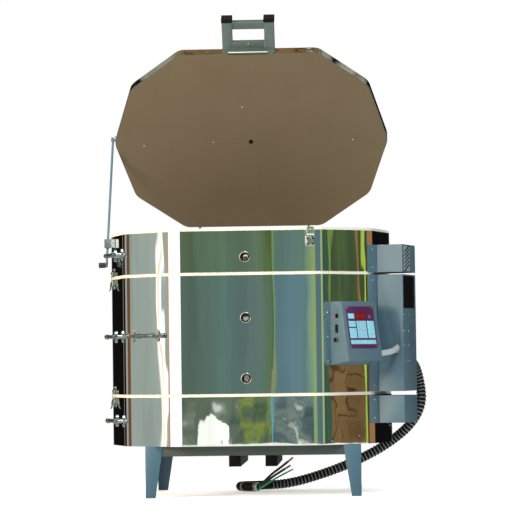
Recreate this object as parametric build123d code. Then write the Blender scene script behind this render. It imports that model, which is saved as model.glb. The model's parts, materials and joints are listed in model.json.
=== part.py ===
from build123d import *
import math
import os

# Large oval top-loading electric kiln. Millimetres, +Z up, +X to the right seen from the front.
# It is drawn from the floor under the middle of the chamber, with the front facing -Y.
# The plan is a ten-sided ring pulled out sideways by a straight insert. A facet is named by the
# direction that it faces, in degrees from +X. The lid is drawn closed and then swung open.

os.makedirs("parts", exist_ok=True)

# Brick plan
depth = 746.1
insert = 308.0
wall = 76.2
straight_brick = 228.6
slab_corner = 60.0
facet_turn = 36

# Brick rows and sections
stand_height = 195.0
floor_slab = 76.2
row = 114.3
middle_rows = 4
lid_thickness = 63.5
lid_gap = 0.5
vent_r = 5.0

# Element grooves and elements
groove_mouth = 7.0
groove_depth = 16.0
groove_drop = 5.0
coil_r = 5.6
coil_back_gap = 0.9
coil_lift = 3.4
tail_r = 2.4
tail_hole_r = 3.0
tail_out = 16.0
tail_first = -8.0
tail_pitch = 24.0

# Steel jackets
sheet = 0.9
jacket_gap = 0.95
jacket_bend = 90.0
joint_show = 12.0
rim_show = 10.0
skin = jacket_gap + sheet
brick_bend = jacket_bend - skin

# Peepholes
peephole_r = 12.5
peephole_x = -5.0
peephole_jacket_r = 19.0
peephole_rise = 5.0

# Stand
stand_half_x = 407.5
stand_half_y = 316.0
stand_shift = 14.0
angle_size = 38.0
steel = 3.0
leg_top = 67.0
leg_foot = 37.0
channel_x = 69.0
channel_width = 45.0
channel_drop = 41.0

# Lid hinge, with the lid resting open
lid_open = 62.0
hinge_y = 423.0
hinge_above_rim = 6.0
hinge_x = 222.0
hinge_rod_r = 6.0
hinge_ear_gap = 24.0
hinge_ear = 4.0
hinge_ear_r = 12.0
hinge_plate_drop = 90.0
run_clear = 0.05
lid_strap = 5.0
lid_strap_width = 40.0
lid_strap_reach = 130.0

# Lid arms and handle
arm_x = 83.5
arm_tube = 40.0
arm_wall = 2.5
arm_reach = 118.0
arm_rear = 12.0
cap_length = 10.0
cap_over = 8.0
cap_side = 1.6
bar_tube = 30.0
bar_reach = 77.5
tray_reach = 27.0
tray_depth = 22.0
edge_plate_half = 78.0
edge_plate = 2.0
edge_lip_r = 4.0

# Lid brace
brace_x = 558.0
brace_thick = 7.0
brace_width = 18.0
brace_half_rise = 40.0
brace_past_guide = 104.0
brace_foot = 24.0
stud_r = 5.0
slot_clear = 0.3
guide_wall = 4.0
guide_height = 33.0
guide_pin_r = 3.0
guide_web_y = 28.0
grip_wall = 2.5

# Carry handles
handle_span = 124.0
handle_reach = 35.0
handle_rod_r = 6.5
saddle_boss_r = 9.5
saddle_foot = (20.0, 46.0, 5.0)
end_handle = 27.0
side_handle = 19.0

# Draw latches, measured from the joint that they cross
latch_width = 26.0
latch_plate = 1.5
latch_pin = (-22.0, 8.0)
latch_pin_r = 2.0
latch_throw = 9.0
latch_lever_end = -50.0
latch_lever = 16.0
latch_ear = 2.0
bail_r = 1.5
bail_half = 14.0
keeper_top = 20.0
latch_along = -60.0
part_gap = 0.3

# Hasp
hasp_x = 242.0
hasp_knuckle_below_rim = 30.0
hasp_leaf = (37.0, 48.0)
hasp_strap_width = 26.0
hasp_sheet = 2.0
hasp_barrel_r = 4.0
hasp_pin_r = 2.0
hasp_strap_above_rim = 1.5

# Electrical boxes on the facet that faces -18 degrees
box_front = -103.5
box_rear = 63.0
box_out = 118.0
box_sheet = 1.5
box_flange = 42.0
box_flange_rear = 20.0
bottom_box_over_stand = 77.0
bottom_box_under_joint = 9.5
middle_box_over_joint = 6.5
middle_box_under_joint = 6.7
top_box_over_joint = 2.3
top_box_height = 105.0
window_inset = 12.0
louvre_count = 6
louvre_end = 16.25
louvre = (46.0, 6.0)
louvre_tilt = 35.0
louvre_along = -48.0

# Controller on the facet that faces -54 degrees, with its heights taken from the lower joint
case_left = -76.0
case_right = 80.0
case_top_rise = 346.5
case_bottom_rise = 122.5
case_back_rise = 108.5
case_top_out = 75.0
case_bottom_out = 119.0
case_flange = 24.0
case_flange_right = 14.0
keypad = (127.0, 160.0, 1.6)
keypad_rise = 14.0
switch_hole = (27.0, 12.0)
switch_frame = (31.0, 16.0, 2.0)
switch_at = (44.0, 244.5)
switch_tilt = 9.0
rocker_half = 3.5
fuse_at = (46.0, 292.5)
fuse_r = 7.0
port_at = (40.0, 202.5)
port_size = (26.0, 15.0, 3.0)
board = (100.0, 130.0, 1.6)
board_behind = 14.0
board_post_r = 3.5

# What the middle box holds, with its heights taken from the lower joint
relay_size = (46.0, 58.0, 40.0)
relay_along = -10.0
relay_rises = (64.5, 174.5, 314.5)
terminal_size = (30.0, 90.0, 30.0)
terminal_at = (-60.0, 84.5)
terminal_pitch = 30.0

# Thermocouple
thermocouple_r = 5.0
thermocouple_along = 34.0
thermocouple_inside = 30.0
thermocouple_outside = 24.0

# Silver conduit between the controller and the middle box
link_r = 11.0
link_wall = 1.5
link_case = (85.0, 149.5)
link_box = (90.0, 167.5)
ring_r = 16.0
ring_length = 8.0

# Power conduit and its wires
gland_at = (75.0, 119.5)
gland_length = 30.0
gland_r = 23.0
hose_first = 72.0
hose_r = 19.0
hose_valley_r = 16.8
hose_bore_r = 13.6
rib_pitch = 15.0
hose_points = [
    (655, 62, 430),
    (664, 74, 342),
    (624, 96, 262),
    (541, 146, 190),
    (432, 172, 127),
    (285, 196, 67),
    (135, 220, 25),
    (30, 228, 20),
    (-36, 212, 20),
    (-64, 160, 20),
    (-40, 112, 20),
    (14, 84, 20),
]
plug_depth = 22.0
wire_r = 3.2
green_r = 2.7
copper_r = 1.9
copper_bare = 26.0
black_long = [(38, 71, 30), (68, 64, 55), (98, 66, 78), (122, 68, 100)]
black_short = [(40, 72, 24), (66, 68, 42), (93, 68, 62), (112, 69, 76)]
green_wire = [(40, 66, 17), (66, 58, 26), (92, 60, 42), (114, 62, 54)]

# Levels and edges worked out from the sizes above
floor_top = stand_height + floor_slab
lower_joint = floor_top + row
upper_joint = lower_joint + middle_rows * row
rim = upper_joint + 1.5 * row
hinge_z = rim + hinge_above_rim
lid_bottom = rim + lid_gap
lid_top = lid_bottom + lid_thickness
half_depth = depth / 2
guide_z = hinge_z - brace_half_rise
groove_heights = (row / 4, 3 * row / 4)
bottom_box = (stand_height + bottom_box_over_stand, lower_joint - bottom_box_under_joint)
middle_box = (lower_joint + middle_box_over_joint, upper_joint - middle_box_under_joint)
top_box = (upper_joint + top_box_over_joint, upper_joint + top_box_over_joint + top_box_height)
case_top = lower_joint + case_top_rise
case_bottom = lower_joint + case_bottom_rise
case_back_bottom = lower_joint + case_back_rise
gland_z = lower_joint + gland_at[1]
thermocouple_z = lower_joint + 2.5 * row


def cosd(angle):
    return math.cos(math.radians(angle))


def sind(angle):
    return math.sin(math.radians(angle))


def corners(inset=0.0):
    """Plan corners of the ring, drawn in by a distance, anticlockwise from the front right."""
    radius = (half_depth - inset) / cosd(facet_turn / 2)
    turns = (-2 * facet_turn, -facet_turn, 0, facet_turn, 2 * facet_turn)
    right = [(insert / 2 + radius * cosd(a), radius * sind(a)) for a in turns]
    return right + [(-x, y) for x, y in reversed(right)]


def plan(inset=0.0, bend=0.0):
    """The ring's outline as a face, with rounded corners where a bend radius is given."""
    face = make_face(Polyline(*corners(inset), close=True))
    return fillet(face.vertices(), bend) if bend else face


def spot(facing, along, lift):
    """Plan point on a facet: along it to the right seen from outside, and out from the brick."""
    side = 0 if abs(facing) == 90 else math.copysign(1, cosd(facing))
    reach = half_depth + lift
    x = side * insert / 2 + cosd(facing) * reach - sind(facing) * along
    y = sind(facing) * reach + cosd(facing) * along
    return (x, y)


def facet(facing, along=0.0, height=0.0, lift=skin):
    """Plane on a facet: X to the right seen from outside, Y up, Z outwards."""
    x, y = spot(facing, along, lift)
    return Plane(
        origin=(x, y, height), x_dir=(-sind(facing), cosd(facing), 0), z_dir=(cosd(facing), sind(facing), 0)
    )


def outward(facing):
    return Vector(cosd(facing), sind(facing), 0)


def rightward(facing):
    return Vector(-sind(facing), cosd(facing), 0)


def prism(points, low, high):
    return Pos(0, 0, low) * extrude(make_face(Polyline(*points, close=True)), high - low)


def slab(x, y, z):
    """Box from three (low, high) pairs."""
    middle = [sum(pair) / 2 for pair in (x, y, z)]
    return Pos(*middle) * Box(x[1] - x[0], y[1] - y[0], z[1] - z[0])


def rod(start, end, radius):
    """Round bar between two points."""
    a, b = Vector(*start), Vector(*end)
    return Plane(origin=a, z_dir=b - a) * extrude(Circle(radius), (b - a).length)


parts = {}


def save(name, *solids):
    """Keep one node, made of one solid or several separate ones."""
    parts[name] = [s for item in solids for s in (item.solids() if hasattr(item, "solids") else item)]


def opened(shape):
    """Swing a shape of the closed lid up to its resting place."""
    swing = Pos(0, hinge_y, hinge_z) * Rot(-lid_open, 0, 0) * Pos(0, -hinge_y, -hinge_z)
    return swing * shape


# Brick walls


def groove_cut(start, end, height):
    """Dropped element groove along one brick: its floor slopes down to the back."""
    run = (end - start).normalized()
    out = Vector(run.Y, -run.X, 0)
    section = Plane(origin=(start + end) / 2 + Vector(0, 0, height), x_dir=out, z_dir=-run)
    lip = groove_mouth
    outline = Polyline(
        (-2, -lip), (0, -lip), (groove_depth, -lip - groove_drop), (groove_depth, lip / 2), (0, lip), (-2, lip),
        close=True,
    )
    return extrude(section * make_face(outline), amount=straight_brick + insert, both=True)


def ring_block(low, high):
    """The whole ring's outline with its rounded corners, as a solid."""
    return Pos(0, 0, low) * extrude(plan(0, brick_bend), high - low)


def wall_brick(quad, low, high, grooves):
    """One mitred firebrick. Its plan runs outer start, outer end, inner end, inner start."""
    block = prism(quad, low, high) & ring_block(low, high)
    start, end = Vector(*quad[3], 0), Vector(*quad[2], 0)
    for height in grooves:
        block -= groove_cut(start, end, low + height)
    return block


def row_plans():
    """Plans of one row's bricks, with the front's middle brick first."""
    outer, inner = corners(), corners(wall)
    half = straight_brick / 2
    front, back = [], []
    for i in range(10):
        a, b = outer[i], outer[(i + 1) % 10]
        c, d = inner[(i + 1) % 10], inner[i]
        if abs(a[1] - b[1]) > 1:
            back.append([a, b, c, d])
            continue
        side = 1 if b[0] > a[0] else -1
        middle = [(-side * half, a[1]), (side * half, a[1]), (side * half, c[1]), (-side * half, c[1])]
        (front if side > 0 else back).append(middle)
        back.append([a, middle[0], middle[3], d])
        back.append([middle[1], b, c, middle[2]])
    return front + back


def tail_cuts(height):
    """Two holes through the wall for one element's tails."""
    cuts = []
    for along in (tail_first, tail_first - tail_pitch):
        inner = spot(-18, along, -wall - 2)
        outer = spot(-18, along, 2)
        cuts.append(rod((*inner, height), (*outer, height), tail_hole_r))
    return cuts


def element_height(groove):
    """Middle of an element that lies in a groove at this height."""
    return groove - coil_lift


def make_row(low, high, grooves, with_peephole):
    """One row of bricks: the plain ones, and the one with a peephole if the row has it."""
    plans = row_plans()
    plain = []
    for quad in plans[1:] if with_peephole else plans:
        brick = wall_brick(quad, low, high, grooves)
        centre = Vector(sum(p[0] for p in quad) / 4, sum(p[1] for p in quad) / 4, 0)
        side = Vector(*spot(-18, 0, -wall / 2), 0)
        if (centre - side).length < wall / 2:
            for height in grooves:
                for cut in tail_cuts(element_height(low + height)):
                    brick -= cut
            if low < thermocouple_z < high:
                brick -= thermocouple_rod(thermocouple_r + part_gap)
        plain.append(brick)
    if not with_peephole:
        return plain, []
    eye = wall_brick(plans[0], low, high, grooves)
    height = (low + high) / 2 + peephole_rise
    ends = [(peephole_x, -half_depth + reach, height) for reach in (-5, wall + 5)]
    eye -= rod(*ends, peephole_r)
    return plain, [eye]


def thermocouple_rod(radius):
    inner = spot(-18, thermocouple_along, -wall - thermocouple_inside)
    outer = spot(-18, thermocouple_along, thermocouple_outside)
    return rod((*inner, thermocouple_z), (*outer, thermocouple_z), radius)


full = groove_heights
bottom_rows, bottom_eyes = make_row(floor_top, lower_joint, full, False)
middle_bricks, eyes = [], []
for index in range(middle_rows):
    base = lower_joint + index * row
    plain, eye = make_row(base, base + row, full, index % 2 == 0)
    middle_bricks += plain
    eyes += eye
top_bricks, eye = make_row(upper_joint, upper_joint + row, full, True)
eyes += eye
half_bricks, _ = make_row(upper_joint + row, rim, (), False)
top_bricks += half_bricks

save("floor_slab", Pos(0, 0, stand_height) * extrude(plan(0, brick_bend), floor_slab))
save("bottom_bricks", *bottom_rows)
save("middle_bricks", *middle_bricks)
save("top_bricks", *top_bricks)
save("peephole_bricks", *eyes)

# Elements


def element(groove):
    """One element: a closed coil's envelope round the groove and two tails out through the wall."""
    inset = wall - (groove_depth - coil_r - coil_back_gap)
    height = element_height(groove)
    first = spot(-18, tail_first, -inset)
    last = spot(-18, tail_first - tail_pitch, -inset)
    ring = corners(inset)
    route = [first, *ring[2:], *ring[:2], last]
    points = [(x, y, height) for x, y in route]
    start = Plane(origin=points[0], z_dir=Vector(*points[1]) - Vector(*points[0]), x_dir=(0, 0, 1))
    coil = sweep(start * RegularPolygon(coil_r, 6), Polyline(*points), transition=Transition.RIGHT)
    for along in (tail_first, tail_first - tail_pitch):
        inner = spot(-18, along, -inset)
        outer = spot(-18, along, skin + tail_out)
        coil += rod((*inner, height), (*outer, height), tail_r)
    return coil


grooves = [floor_top + g for g in full]
grooves += [lower_joint + k * row + g for k in range(middle_rows) for g in full]
grooves += [upper_joint + g for g in full]
first_element = element(grooves[0])
save("heating_elements", *[Pos(0, 0, g - grooves[0]) * first_element for g in grooves])
save("thermocouple", thermocouple_rod(thermocouple_r))

# Steel jackets


def jacket(low, high, window):
    """One section's jacket, with a window in it behind the electrical box."""
    band = plan(-skin, jacket_bend) - plan(-jacket_gap, jacket_bend - sheet)
    shell = Pos(0, 0, low) * extrude(band, high - low)
    hole = facet(-18, (box_front + box_rear) / 2, sum(window) / 2, 0)
    width = box_rear - box_front - 4 * window_inset
    return shell - hole * Box(width, window[1] - window[0] - 2 * window_inset, 4 * skin)


def eye_cut(height):
    centre = height + peephole_rise
    ends = [(peephole_x, -half_depth + reach, centre) for reach in (-5, 5)]
    return rod(*ends, peephole_jacket_r)


half_joint = joint_show / 2
top_jacket = jacket(upper_joint + half_joint, rim - rim_show, top_box) - eye_cut(upper_joint + row / 2)
middle_jacket = jacket(lower_joint + half_joint, upper_joint - half_joint, middle_box)
for index in range(0, middle_rows, 2):
    middle_jacket -= eye_cut(lower_joint + (index + 0.5) * row)
save("top_jacket", top_jacket)
save("middle_jacket", middle_jacket)
save("bottom_jacket", jacket(stand_height, lower_joint - half_joint, bottom_box))

# Stand


def four_ways(shape):
    """A corner piece mirrored to all four corners of the stand."""
    pair = [shape, mirror(shape, about=Plane.YZ)]
    pieces = pair + [mirror(s, about=Plane.XZ) for s in pair]
    return [Pos(stand_shift, 0, 0) * s for s in pieces]


def leg():
    """Front right leg: two tapered flanges with one square outer edge."""
    taper = [(0, 0), (leg_foot, 0), (leg_top, stand_height), (0, stand_height)]
    face = make_face(Polyline(*taper, close=True))
    corner = (stand_half_x, -stand_half_y, 0)
    front = Plane(origin=corner, x_dir=(-1, 0, 0), z_dir=(0, 1, 0))
    side = Plane(origin=corner, x_dir=(0, 1, 0), z_dir=(1, 0, 0))
    return extrude(front * face, steel) + extrude(side * face, -steel)


def angle_rail(length):
    """Angle iron along X, with its corner at the top outside edge on the front side."""
    upright = slab((-length / 2, length / 2), (0, steel), (-angle_size, 0))
    top = slab((-length / 2, length / 2), (0, angle_size), (-steel, 0))
    return upright + top


rail_x = 2 * (stand_half_x - steel)
rail_y = 2 * (stand_half_y - steel - angle_size)
front_rail = Pos(stand_shift, -stand_half_y + steel, stand_height) * angle_rail(rail_x)
side_rail = Pos(stand_shift + stand_half_x - steel, 0, stand_height) * Rot(0, 0, 90) * angle_rail(rail_y)
left_rail = Pos(stand_shift - stand_half_x + steel, 0, stand_height) * Rot(0, 0, -90) * angle_rail(rail_y)
back_rail = mirror(front_rail, about=Plane.XZ)
save("stand_legs", *four_ways(leg()))
save("stand_rails", front_rail, back_rail, side_rail, left_rail)


def cross_channel(x, gusset):
    """Channel from front to back under the rails, open at the top and closed at its ends."""
    reach = stand_half_y - steel
    top = stand_height - angle_size
    low = top - channel_drop
    half = channel_width / 2
    outer = slab((x - half, x + half), (-reach, reach), (low, top))
    inner = slab((x - half + steel, x + half - steel), (-reach + steel, reach - steel), (low + steel, top + 1))
    if not gusset:
        return outer - inner
    brace = [(0, 0), (channel_drop * 0.7, 0), (0, -channel_drop)]
    plate = Plane(origin=(x + half, -reach, top), x_dir=(1, 0, 0), z_dir=(0, -1, 0))
    return (outer - inner) + extrude(plate * make_face(Polyline(*brace, close=True)), -steel)


channels = [cross_channel(stand_shift - channel_x, True), cross_channel(stand_shift + channel_x, False)]
save("cross_channels", *channels)

# Lid


def lid_shell():
    band = plan(-skin, slab_corner + skin) - plan(-jacket_gap, slab_corner + jacket_gap)
    return Pos(0, 0, lid_bottom + 3) * extrude(band, lid_thickness - 6)


lid_brick = Pos(0, 0, lid_bottom) * extrude(plan(0, slab_corner), lid_thickness)
lid_brick -= rod((0, 0, lid_bottom - 1), (0, 0, lid_top + 1), vent_r)
save("lid_slab", opened(lid_brick))
save("lid_band", opened(lid_shell()))

front_edge = -half_depth - skin
seat = lid_top + part_gap


def arm(x):
    """Square tube on top of the lid, from behind the middle to past the front edge."""
    half = arm_tube / 2
    length = (front_edge - arm_reach, half_depth - arm_rear)
    outer = slab((x - half, x + half), length, (seat, seat + arm_tube))
    inside = half - arm_wall
    walls = (seat + arm_wall, seat + arm_tube - arm_wall)
    bore = slab((x - inside, x + inside), (length[0] - 1, length[1] + 1), walls)
    return outer - bore


def arm_cap(x):
    """Black plastic cap over the front end of an arm."""
    half = arm_tube / 2 + cap_side
    tip = front_edge - arm_reach
    low = seat - cap_side
    cap = slab((x - half, x + half), (tip - cap_over, tip + cap_length), (low, seat + arm_tube + cap_side))
    cap = fillet(cap.edges().group_by(Axis.Y)[0], 2)
    hole = arm_tube / 2 + part_gap / 2
    heights = (seat - part_gap / 2, seat + arm_tube + part_gap / 2)
    return cap - slab((x - hole, x + hole), (tip - part_gap, tip + 99), heights)


def cross_bar():
    half = arm_x - arm_tube / 2
    near = front_edge - bar_reach - bar_tube
    mid = seat + arm_tube / 2
    bar = slab((-half, half), (near, near + bar_tube), (mid - bar_tube / 2, mid + bar_tube / 2))
    hollow = bar_tube / 2 - 2
    inside = slab((-half - 1, half + 1), (near + 2, near + bar_tube - 2), (mid - hollow, mid + hollow))
    return fillet(bar.edges().filter_by(Axis.X), 3) - inside


def tray():
    """Channel between the arms at the lid's edge, its web facing the underside."""
    half = arm_x - arm_tube / 2 - part_gap
    near = front_edge - tray_reach
    web = slab((-half, half), (near, -half_depth + 12), (seat, seat + 2))
    lip = slab((-half, half), (near, near + 2), (seat, seat + tray_depth))
    inner = slab((-half, half), (-half_depth + 10, -half_depth + 12), (seat, seat + tray_depth))
    return web + lip + inner


def edge_cover():
    """Plate over the front of the lid band, with a round lip along the underside."""
    thick = (front_edge - part_gap - edge_plate, front_edge - part_gap)
    face = slab((-edge_plate_half, edge_plate_half), thick, (lid_bottom, lid_top))
    lip_y = front_edge - part_gap - edge_lip_r
    lip = rod((-edge_plate_half, lip_y, lid_bottom), (edge_plate_half, lip_y, lid_bottom), edge_lip_r)
    return face + lip


save("lid_arms", opened(arm(-arm_x) + arm(arm_x) + cross_bar()))
save("arm_caps", opened(arm_cap(-arm_x)), opened(arm_cap(arm_x)))
save("handle_tray", opened(tray()))
save("edge_plate", opened(edge_cover()))

# Hinge


def hinge_ears(x, width, thick, outline):
    """Two upright ears either side of x, cut from one outline in the YZ plane."""
    face = make_face(Polyline(*outline, close=True))
    pair = []
    for side in (-1, 1):
        left = x + side * width / 2 - thick / 2
        pair.append(Plane(origin=(left, 0, 0), x_dir=(0, 1, 0), z_dir=(1, 0, 0)) * extrude(face, thick))
    return pair


def body_bracket(x):
    """Plate on the back of the top section with two ears that hold the rod."""
    back = half_depth + skin
    low = hinge_z - hinge_plate_drop
    plate = slab((x - 26, x + 26), (back, back + hinge_ear), (low, rim - rim_show))
    top = hinge_z + hinge_ear_r * 0.6
    outline = [
        (back + 1, low + 10),
        (hinge_y + hinge_ear_r, hinge_z - hinge_ear_r),
        (hinge_y + hinge_ear_r, top),
        (hinge_y - hinge_ear_r, top),
        (hinge_y - hinge_ear_r - 6, rim - rim_show - 4),
        (back + 1, rim - rim_show - 4),
    ]
    for ear in hinge_ears(x, hinge_ear_gap, hinge_ear, outline):
        plate += ear
    return plate - rod((x - 40, hinge_y, hinge_z), (x + 40, hinge_y, hinge_z), hinge_rod_r)


def lid_bracket(x):
    """Strap on the lid's top that turns down behind the lid into an eye round the rod."""
    half = lid_strap_width / 2
    back = half_depth + skin + part_gap
    flat = slab((x - half, x + half), (half_depth - lid_strap_reach, back + lid_strap), (seat, seat + lid_strap))
    outline = [
        (back, seat),
        (back, lid_bottom + 14),
        (hinge_y - hinge_ear_r, hinge_z - hinge_ear_r * 0.5),
        (hinge_y + hinge_ear_r * 0.4, hinge_z - hinge_ear_r),
        (hinge_y + hinge_ear_r, hinge_z + hinge_ear_r * 0.4),
        (hinge_y + hinge_ear_r * 0.6, hinge_z + hinge_ear_r),
        (back + lid_strap, seat + lid_strap),
    ]
    face = make_face(Polyline(*outline, close=True))
    web = Plane(origin=(x - hinge_ear, 0, 0), x_dir=(0, 1, 0), z_dir=(1, 0, 0)) * extrude(face, 2 * hinge_ear)
    eye = rod((x - 40, hinge_y, hinge_z), (x + 40, hinge_y, hinge_z), hinge_rod_r + run_clear)
    return flat + web - eye


rod_half = hinge_x + 30
save("hinge_brackets", body_bracket(-hinge_x), body_bracket(hinge_x))
save("hinge_rod", rod((-rod_half, hinge_y, hinge_z), (rod_half, hinge_y, hinge_z), hinge_rod_r))
save("lid_straps", opened(lid_bracket(-hinge_x)), opened(lid_bracket(hinge_x)))

# Lid brace. Both pivots lie on one circle round the hinge, so the bar and its guide turn through
# half of the lid's angle.

lid_corner_x = insert / 2 + (half_depth + skin) / cosd(18) - (slab_corner + skin) * (1 / cosd(18) - 1)
pivot_closed = Vector(-brace_x, 0, hinge_z + brace_half_rise)
arm_length = math.hypot(hinge_y, brace_half_rise)
start_angle = math.atan2(brace_half_rise, -hinge_y) - math.radians(lid_open)
arm_reach_y, arm_reach_z = arm_length * math.cos(start_angle), arm_length * math.sin(start_angle)
pivot_open = Vector(-brace_x, hinge_y + arm_reach_y, hinge_z + arm_reach_z)
pivot_to_guide = 2 * hinge_y * sind(lid_open / 2) + 2 * brace_half_rise * cosd(lid_open / 2)
bar_length = pivot_to_guide + brace_past_guide
half_bar = brace_width / 2


def tilted(shape, centre):
    """Turn a piece of the brace, drawn upright at the origin, to its resting slope."""
    return Pos(*centre) * Rot(-lid_open / 2, 0, 0) * shape


def brace_bar():
    """Flat bar hanging from its pivot, rounded at the top and bent outwards at the foot."""
    half = brace_thick / 2
    bar = slab((-half, half), (-half_bar, half_bar), (-bar_length, 0))
    bar += rod((-half, 0, 0), (half, 0, 0), half_bar)
    foot = slab((-half - brace_foot, half), (-half_bar, half_bar), (-bar_length, -bar_length + brace_thick))
    bar += foot
    return bar - rod((-half - 1, 0, 0), (half + 1, 0, 0), stud_r + run_clear)


def brace_grip():
    """Rubber sleeve over the bent foot."""
    half = brace_thick / 2
    inner = (-half - brace_foot - part_gap, -half - 2)
    middle = -bar_length + brace_thick / 2
    tall = brace_thick / 2 + grip_wall
    wide = half_bar + grip_wall
    block = slab((inner[0] - grip_wall, inner[1]), (-wide, wide), (middle - tall, middle + tall))
    block = fillet(block.edges().filter_by(Axis.X), grip_wall)
    hole = brace_thick / 2 + part_gap / 2
    reach = half_bar + part_gap / 2
    return block - slab((inner[0], 99), (-reach, reach), (middle - hole, middle + hole))


def guide_block():
    """Block with a slot for the bar, carried on a pin on its outer side."""
    half_slot = brace_thick / 2 + slot_clear
    half_x = half_slot + guide_wall
    half_y = half_bar + slot_clear + guide_wall
    block = slab((-half_x, half_x), (-half_y, half_y), (-guide_height / 2, guide_height / 2))
    block = chamfer(block.edges().filter_by(Axis.X), 5)
    reach = half_bar + slot_clear
    block -= slab((-half_slot, half_slot), (-reach, reach), (-guide_height, guide_height))
    return block - rod((-half_x - 1, 0, 0), (-half_slot + 1, 0, 0), guide_pin_r + run_clear)


def guide_bracket():
    """Bent strap: a leaf on the facet, a web in front of the block and an ear outside it."""
    half_slot = brace_thick / 2 + slot_clear
    ear_in = -brace_x - half_slot - guide_wall - part_gap
    ear_out = ear_in - 2.5
    low, high = guide_z - guide_height / 2, guide_z + guide_height / 2
    ear = slab((ear_out, ear_in), (-guide_web_y - 2, 14), (low, high))
    middle_x, middle_y = spot(18, 0, skin)
    edge_x = -middle_x + (guide_web_y - middle_y) * math.tan(math.radians(18))
    web = slab((ear_out, edge_x + 6), (-guide_web_y - 2, -guide_web_y), (low, high))
    far = spot(198, -30, skin)
    near = spot(198, -92.4, skin)
    far_out = spot(198, -30, skin + 2)
    near_out = spot(198, -92.4, skin + 2)
    leaf = prism([near, far, far_out, near_out], low, high)
    body = jacket_block(low, high)
    strap = ear + web - body + leaf
    pin = rod((ear_in, 0, guide_z), (ear_in + part_gap + guide_wall - 0.4, 0, guide_z), guide_pin_r)
    return strap + pin


def jacket_block(low, high):
    """The space inside a section's skin, for trimming what sits on it."""
    return Pos(0, 0, low - 1) * extrude(plan(-skin, jacket_bend), high - low + 2)


def brace_stud():
    """Flanged stud on the lid's left corner, drawn with the lid closed."""
    base = -lid_corner_x - part_gap
    inner = -brace_x + brace_thick / 2
    outer = -brace_x - brace_thick / 2
    z = pivot_closed.Z
    stud = rod((base, 0, z), (base - 3, 0, z), 14)
    stud += rod((base - 3, 0, z), (inner + part_gap, 0, z), 8)
    stud += rod((inner + part_gap, 0, z), (outer - 4, 0, z), stud_r)
    return stud + rod((outer - part_gap, 0, z), (outer - 4, 0, z), 9)


save("brace_bar", tilted(brace_bar(), pivot_open))
save("brace_grip", tilted(brace_grip(), pivot_open))
save("guide_block", tilted(guide_block(), (-brace_x, 0, guide_z)))
save("guide_bracket", guide_bracket())
save("brace_stud", opened(brace_stud()))

# Carry handles


def saddle():
    """Post with a winged oval foot and a boss round the grip, drawn on a facet plane."""
    width, height, thick = saddle_foot
    foot = extrude(Ellipse(width / 2, height / 2), thick)
    post = Pos(0, 0, thick) * extrude(Circle(saddle_boss_r * 0.8), handle_reach - thick)
    boss = rod((-saddle_boss_r, 0, handle_reach), (saddle_boss_r, 0, handle_reach), saddle_boss_r)
    bore = rod((-saddle_boss_r - 1, 0, handle_reach), (saddle_boss_r + 1, 0, handle_reach), handle_rod_r + run_clear)
    return foot + post + boss - bore


def grip():
    reach = handle_span / 2 + saddle_boss_r + 3
    return fillet(rod((-reach, 0, handle_reach), (reach, 0, handle_reach), handle_rod_r).edges(), 1.5)


middle_height = (lower_joint + upper_joint) / 2
handle_spots = [
    (facing, along, height)
    for facing, along in ((198, end_handle), (18, -end_handle))
    for height in ((upper_joint + rim) / 2, middle_height, (stand_height + lower_joint) / 2)
] + [(234, -side_handle, middle_height), (54, side_handle, middle_height)]
grips = [facet(*at) * grip() for at in handle_spots]
saddles = [
    facet(facing, along + side * handle_span / 2, height) * saddle()
    for facing, along, height in handle_spots
    for side in (-1, 1)
]
save("handle_grips", *grips)
save("handle_saddles", *saddles)

# Draw latches

latch_spots = {
    "left_upper": (198, latch_along, upper_joint),
    "left_lower": (198, latch_along, lower_joint),
    "right_upper": (18, -latch_along, upper_joint),
    "right_lower": (18, -latch_along, lower_joint),
}
pin_y, pin_z = latch_pin
bail_y = pin_y - latch_throw


def latch_base():
    """Plate under the joint with two ears and the lever's pin."""
    half = latch_width / 2
    plate = slab((-half, half), (-44, -9), (0, latch_plate))
    inner = latch_lever / 2 + part_gap
    for side in (-1, 1):
        x = sorted((side * inner, side * (inner + latch_ear)))
        ear = slab(x, (pin_y - 6, pin_y + 8), (latch_plate, pin_z + 3.5))
        plate += ear
    tip = inner + latch_ear + 0.6
    return plate + rod((-tip, pin_y, pin_z), (tip, pin_y, pin_z), latch_pin_r)


def latch_keeper():
    """Plate over the joint with a ledge that the bail pulls down on."""
    half = latch_width / 2
    plate = slab((-half, half), (10, 38), (0, latch_plate))
    ledge = slab((-half + 3, half - 3), (keeper_top - 4, keeper_top), (latch_plate, pin_z + 3))
    return plate + ledge


def latch_handle():
    """Lever on the pin, with a barrel for the bail and a lifted end."""
    half = latch_lever / 2
    profile = [
        (pin_y + 3.4, pin_z + 2),
        (pin_y - 4, pin_z + 4.6),
        (latch_lever_end + 8, pin_z + 4.6),
        (latch_lever_end, pin_z + 10),
        (latch_lever_end + 1, pin_z + 11.5),
        (latch_lever_end + 9, pin_z + 6.6),
        (pin_y - 3, pin_z + 6.6),
        (pin_y + 4.5, pin_z + 4),
    ]
    side = Plane(origin=(-half, 0, 0), x_dir=(0, 1, 0), z_dir=(1, 0, 0))
    lever = side * extrude(make_face(Polyline(*profile, close=True)), latch_lever)
    lever += rod((-half, pin_y, pin_z), (half, pin_y, pin_z), 4.4)
    lever += rod((-half, bail_y, pin_z), (half, bail_y, pin_z), 3.6)
    lever += slab((-half, half), (bail_y, pin_y), (pin_z + 1.5, pin_z + 5))
    lever -= rod((-half - 1, pin_y, pin_z), (half + 1, pin_y, pin_z), latch_pin_r + run_clear)
    return lever - rod((-half - 1, bail_y, pin_z), (half + 1, bail_y, pin_z), bail_r + run_clear)


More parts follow.
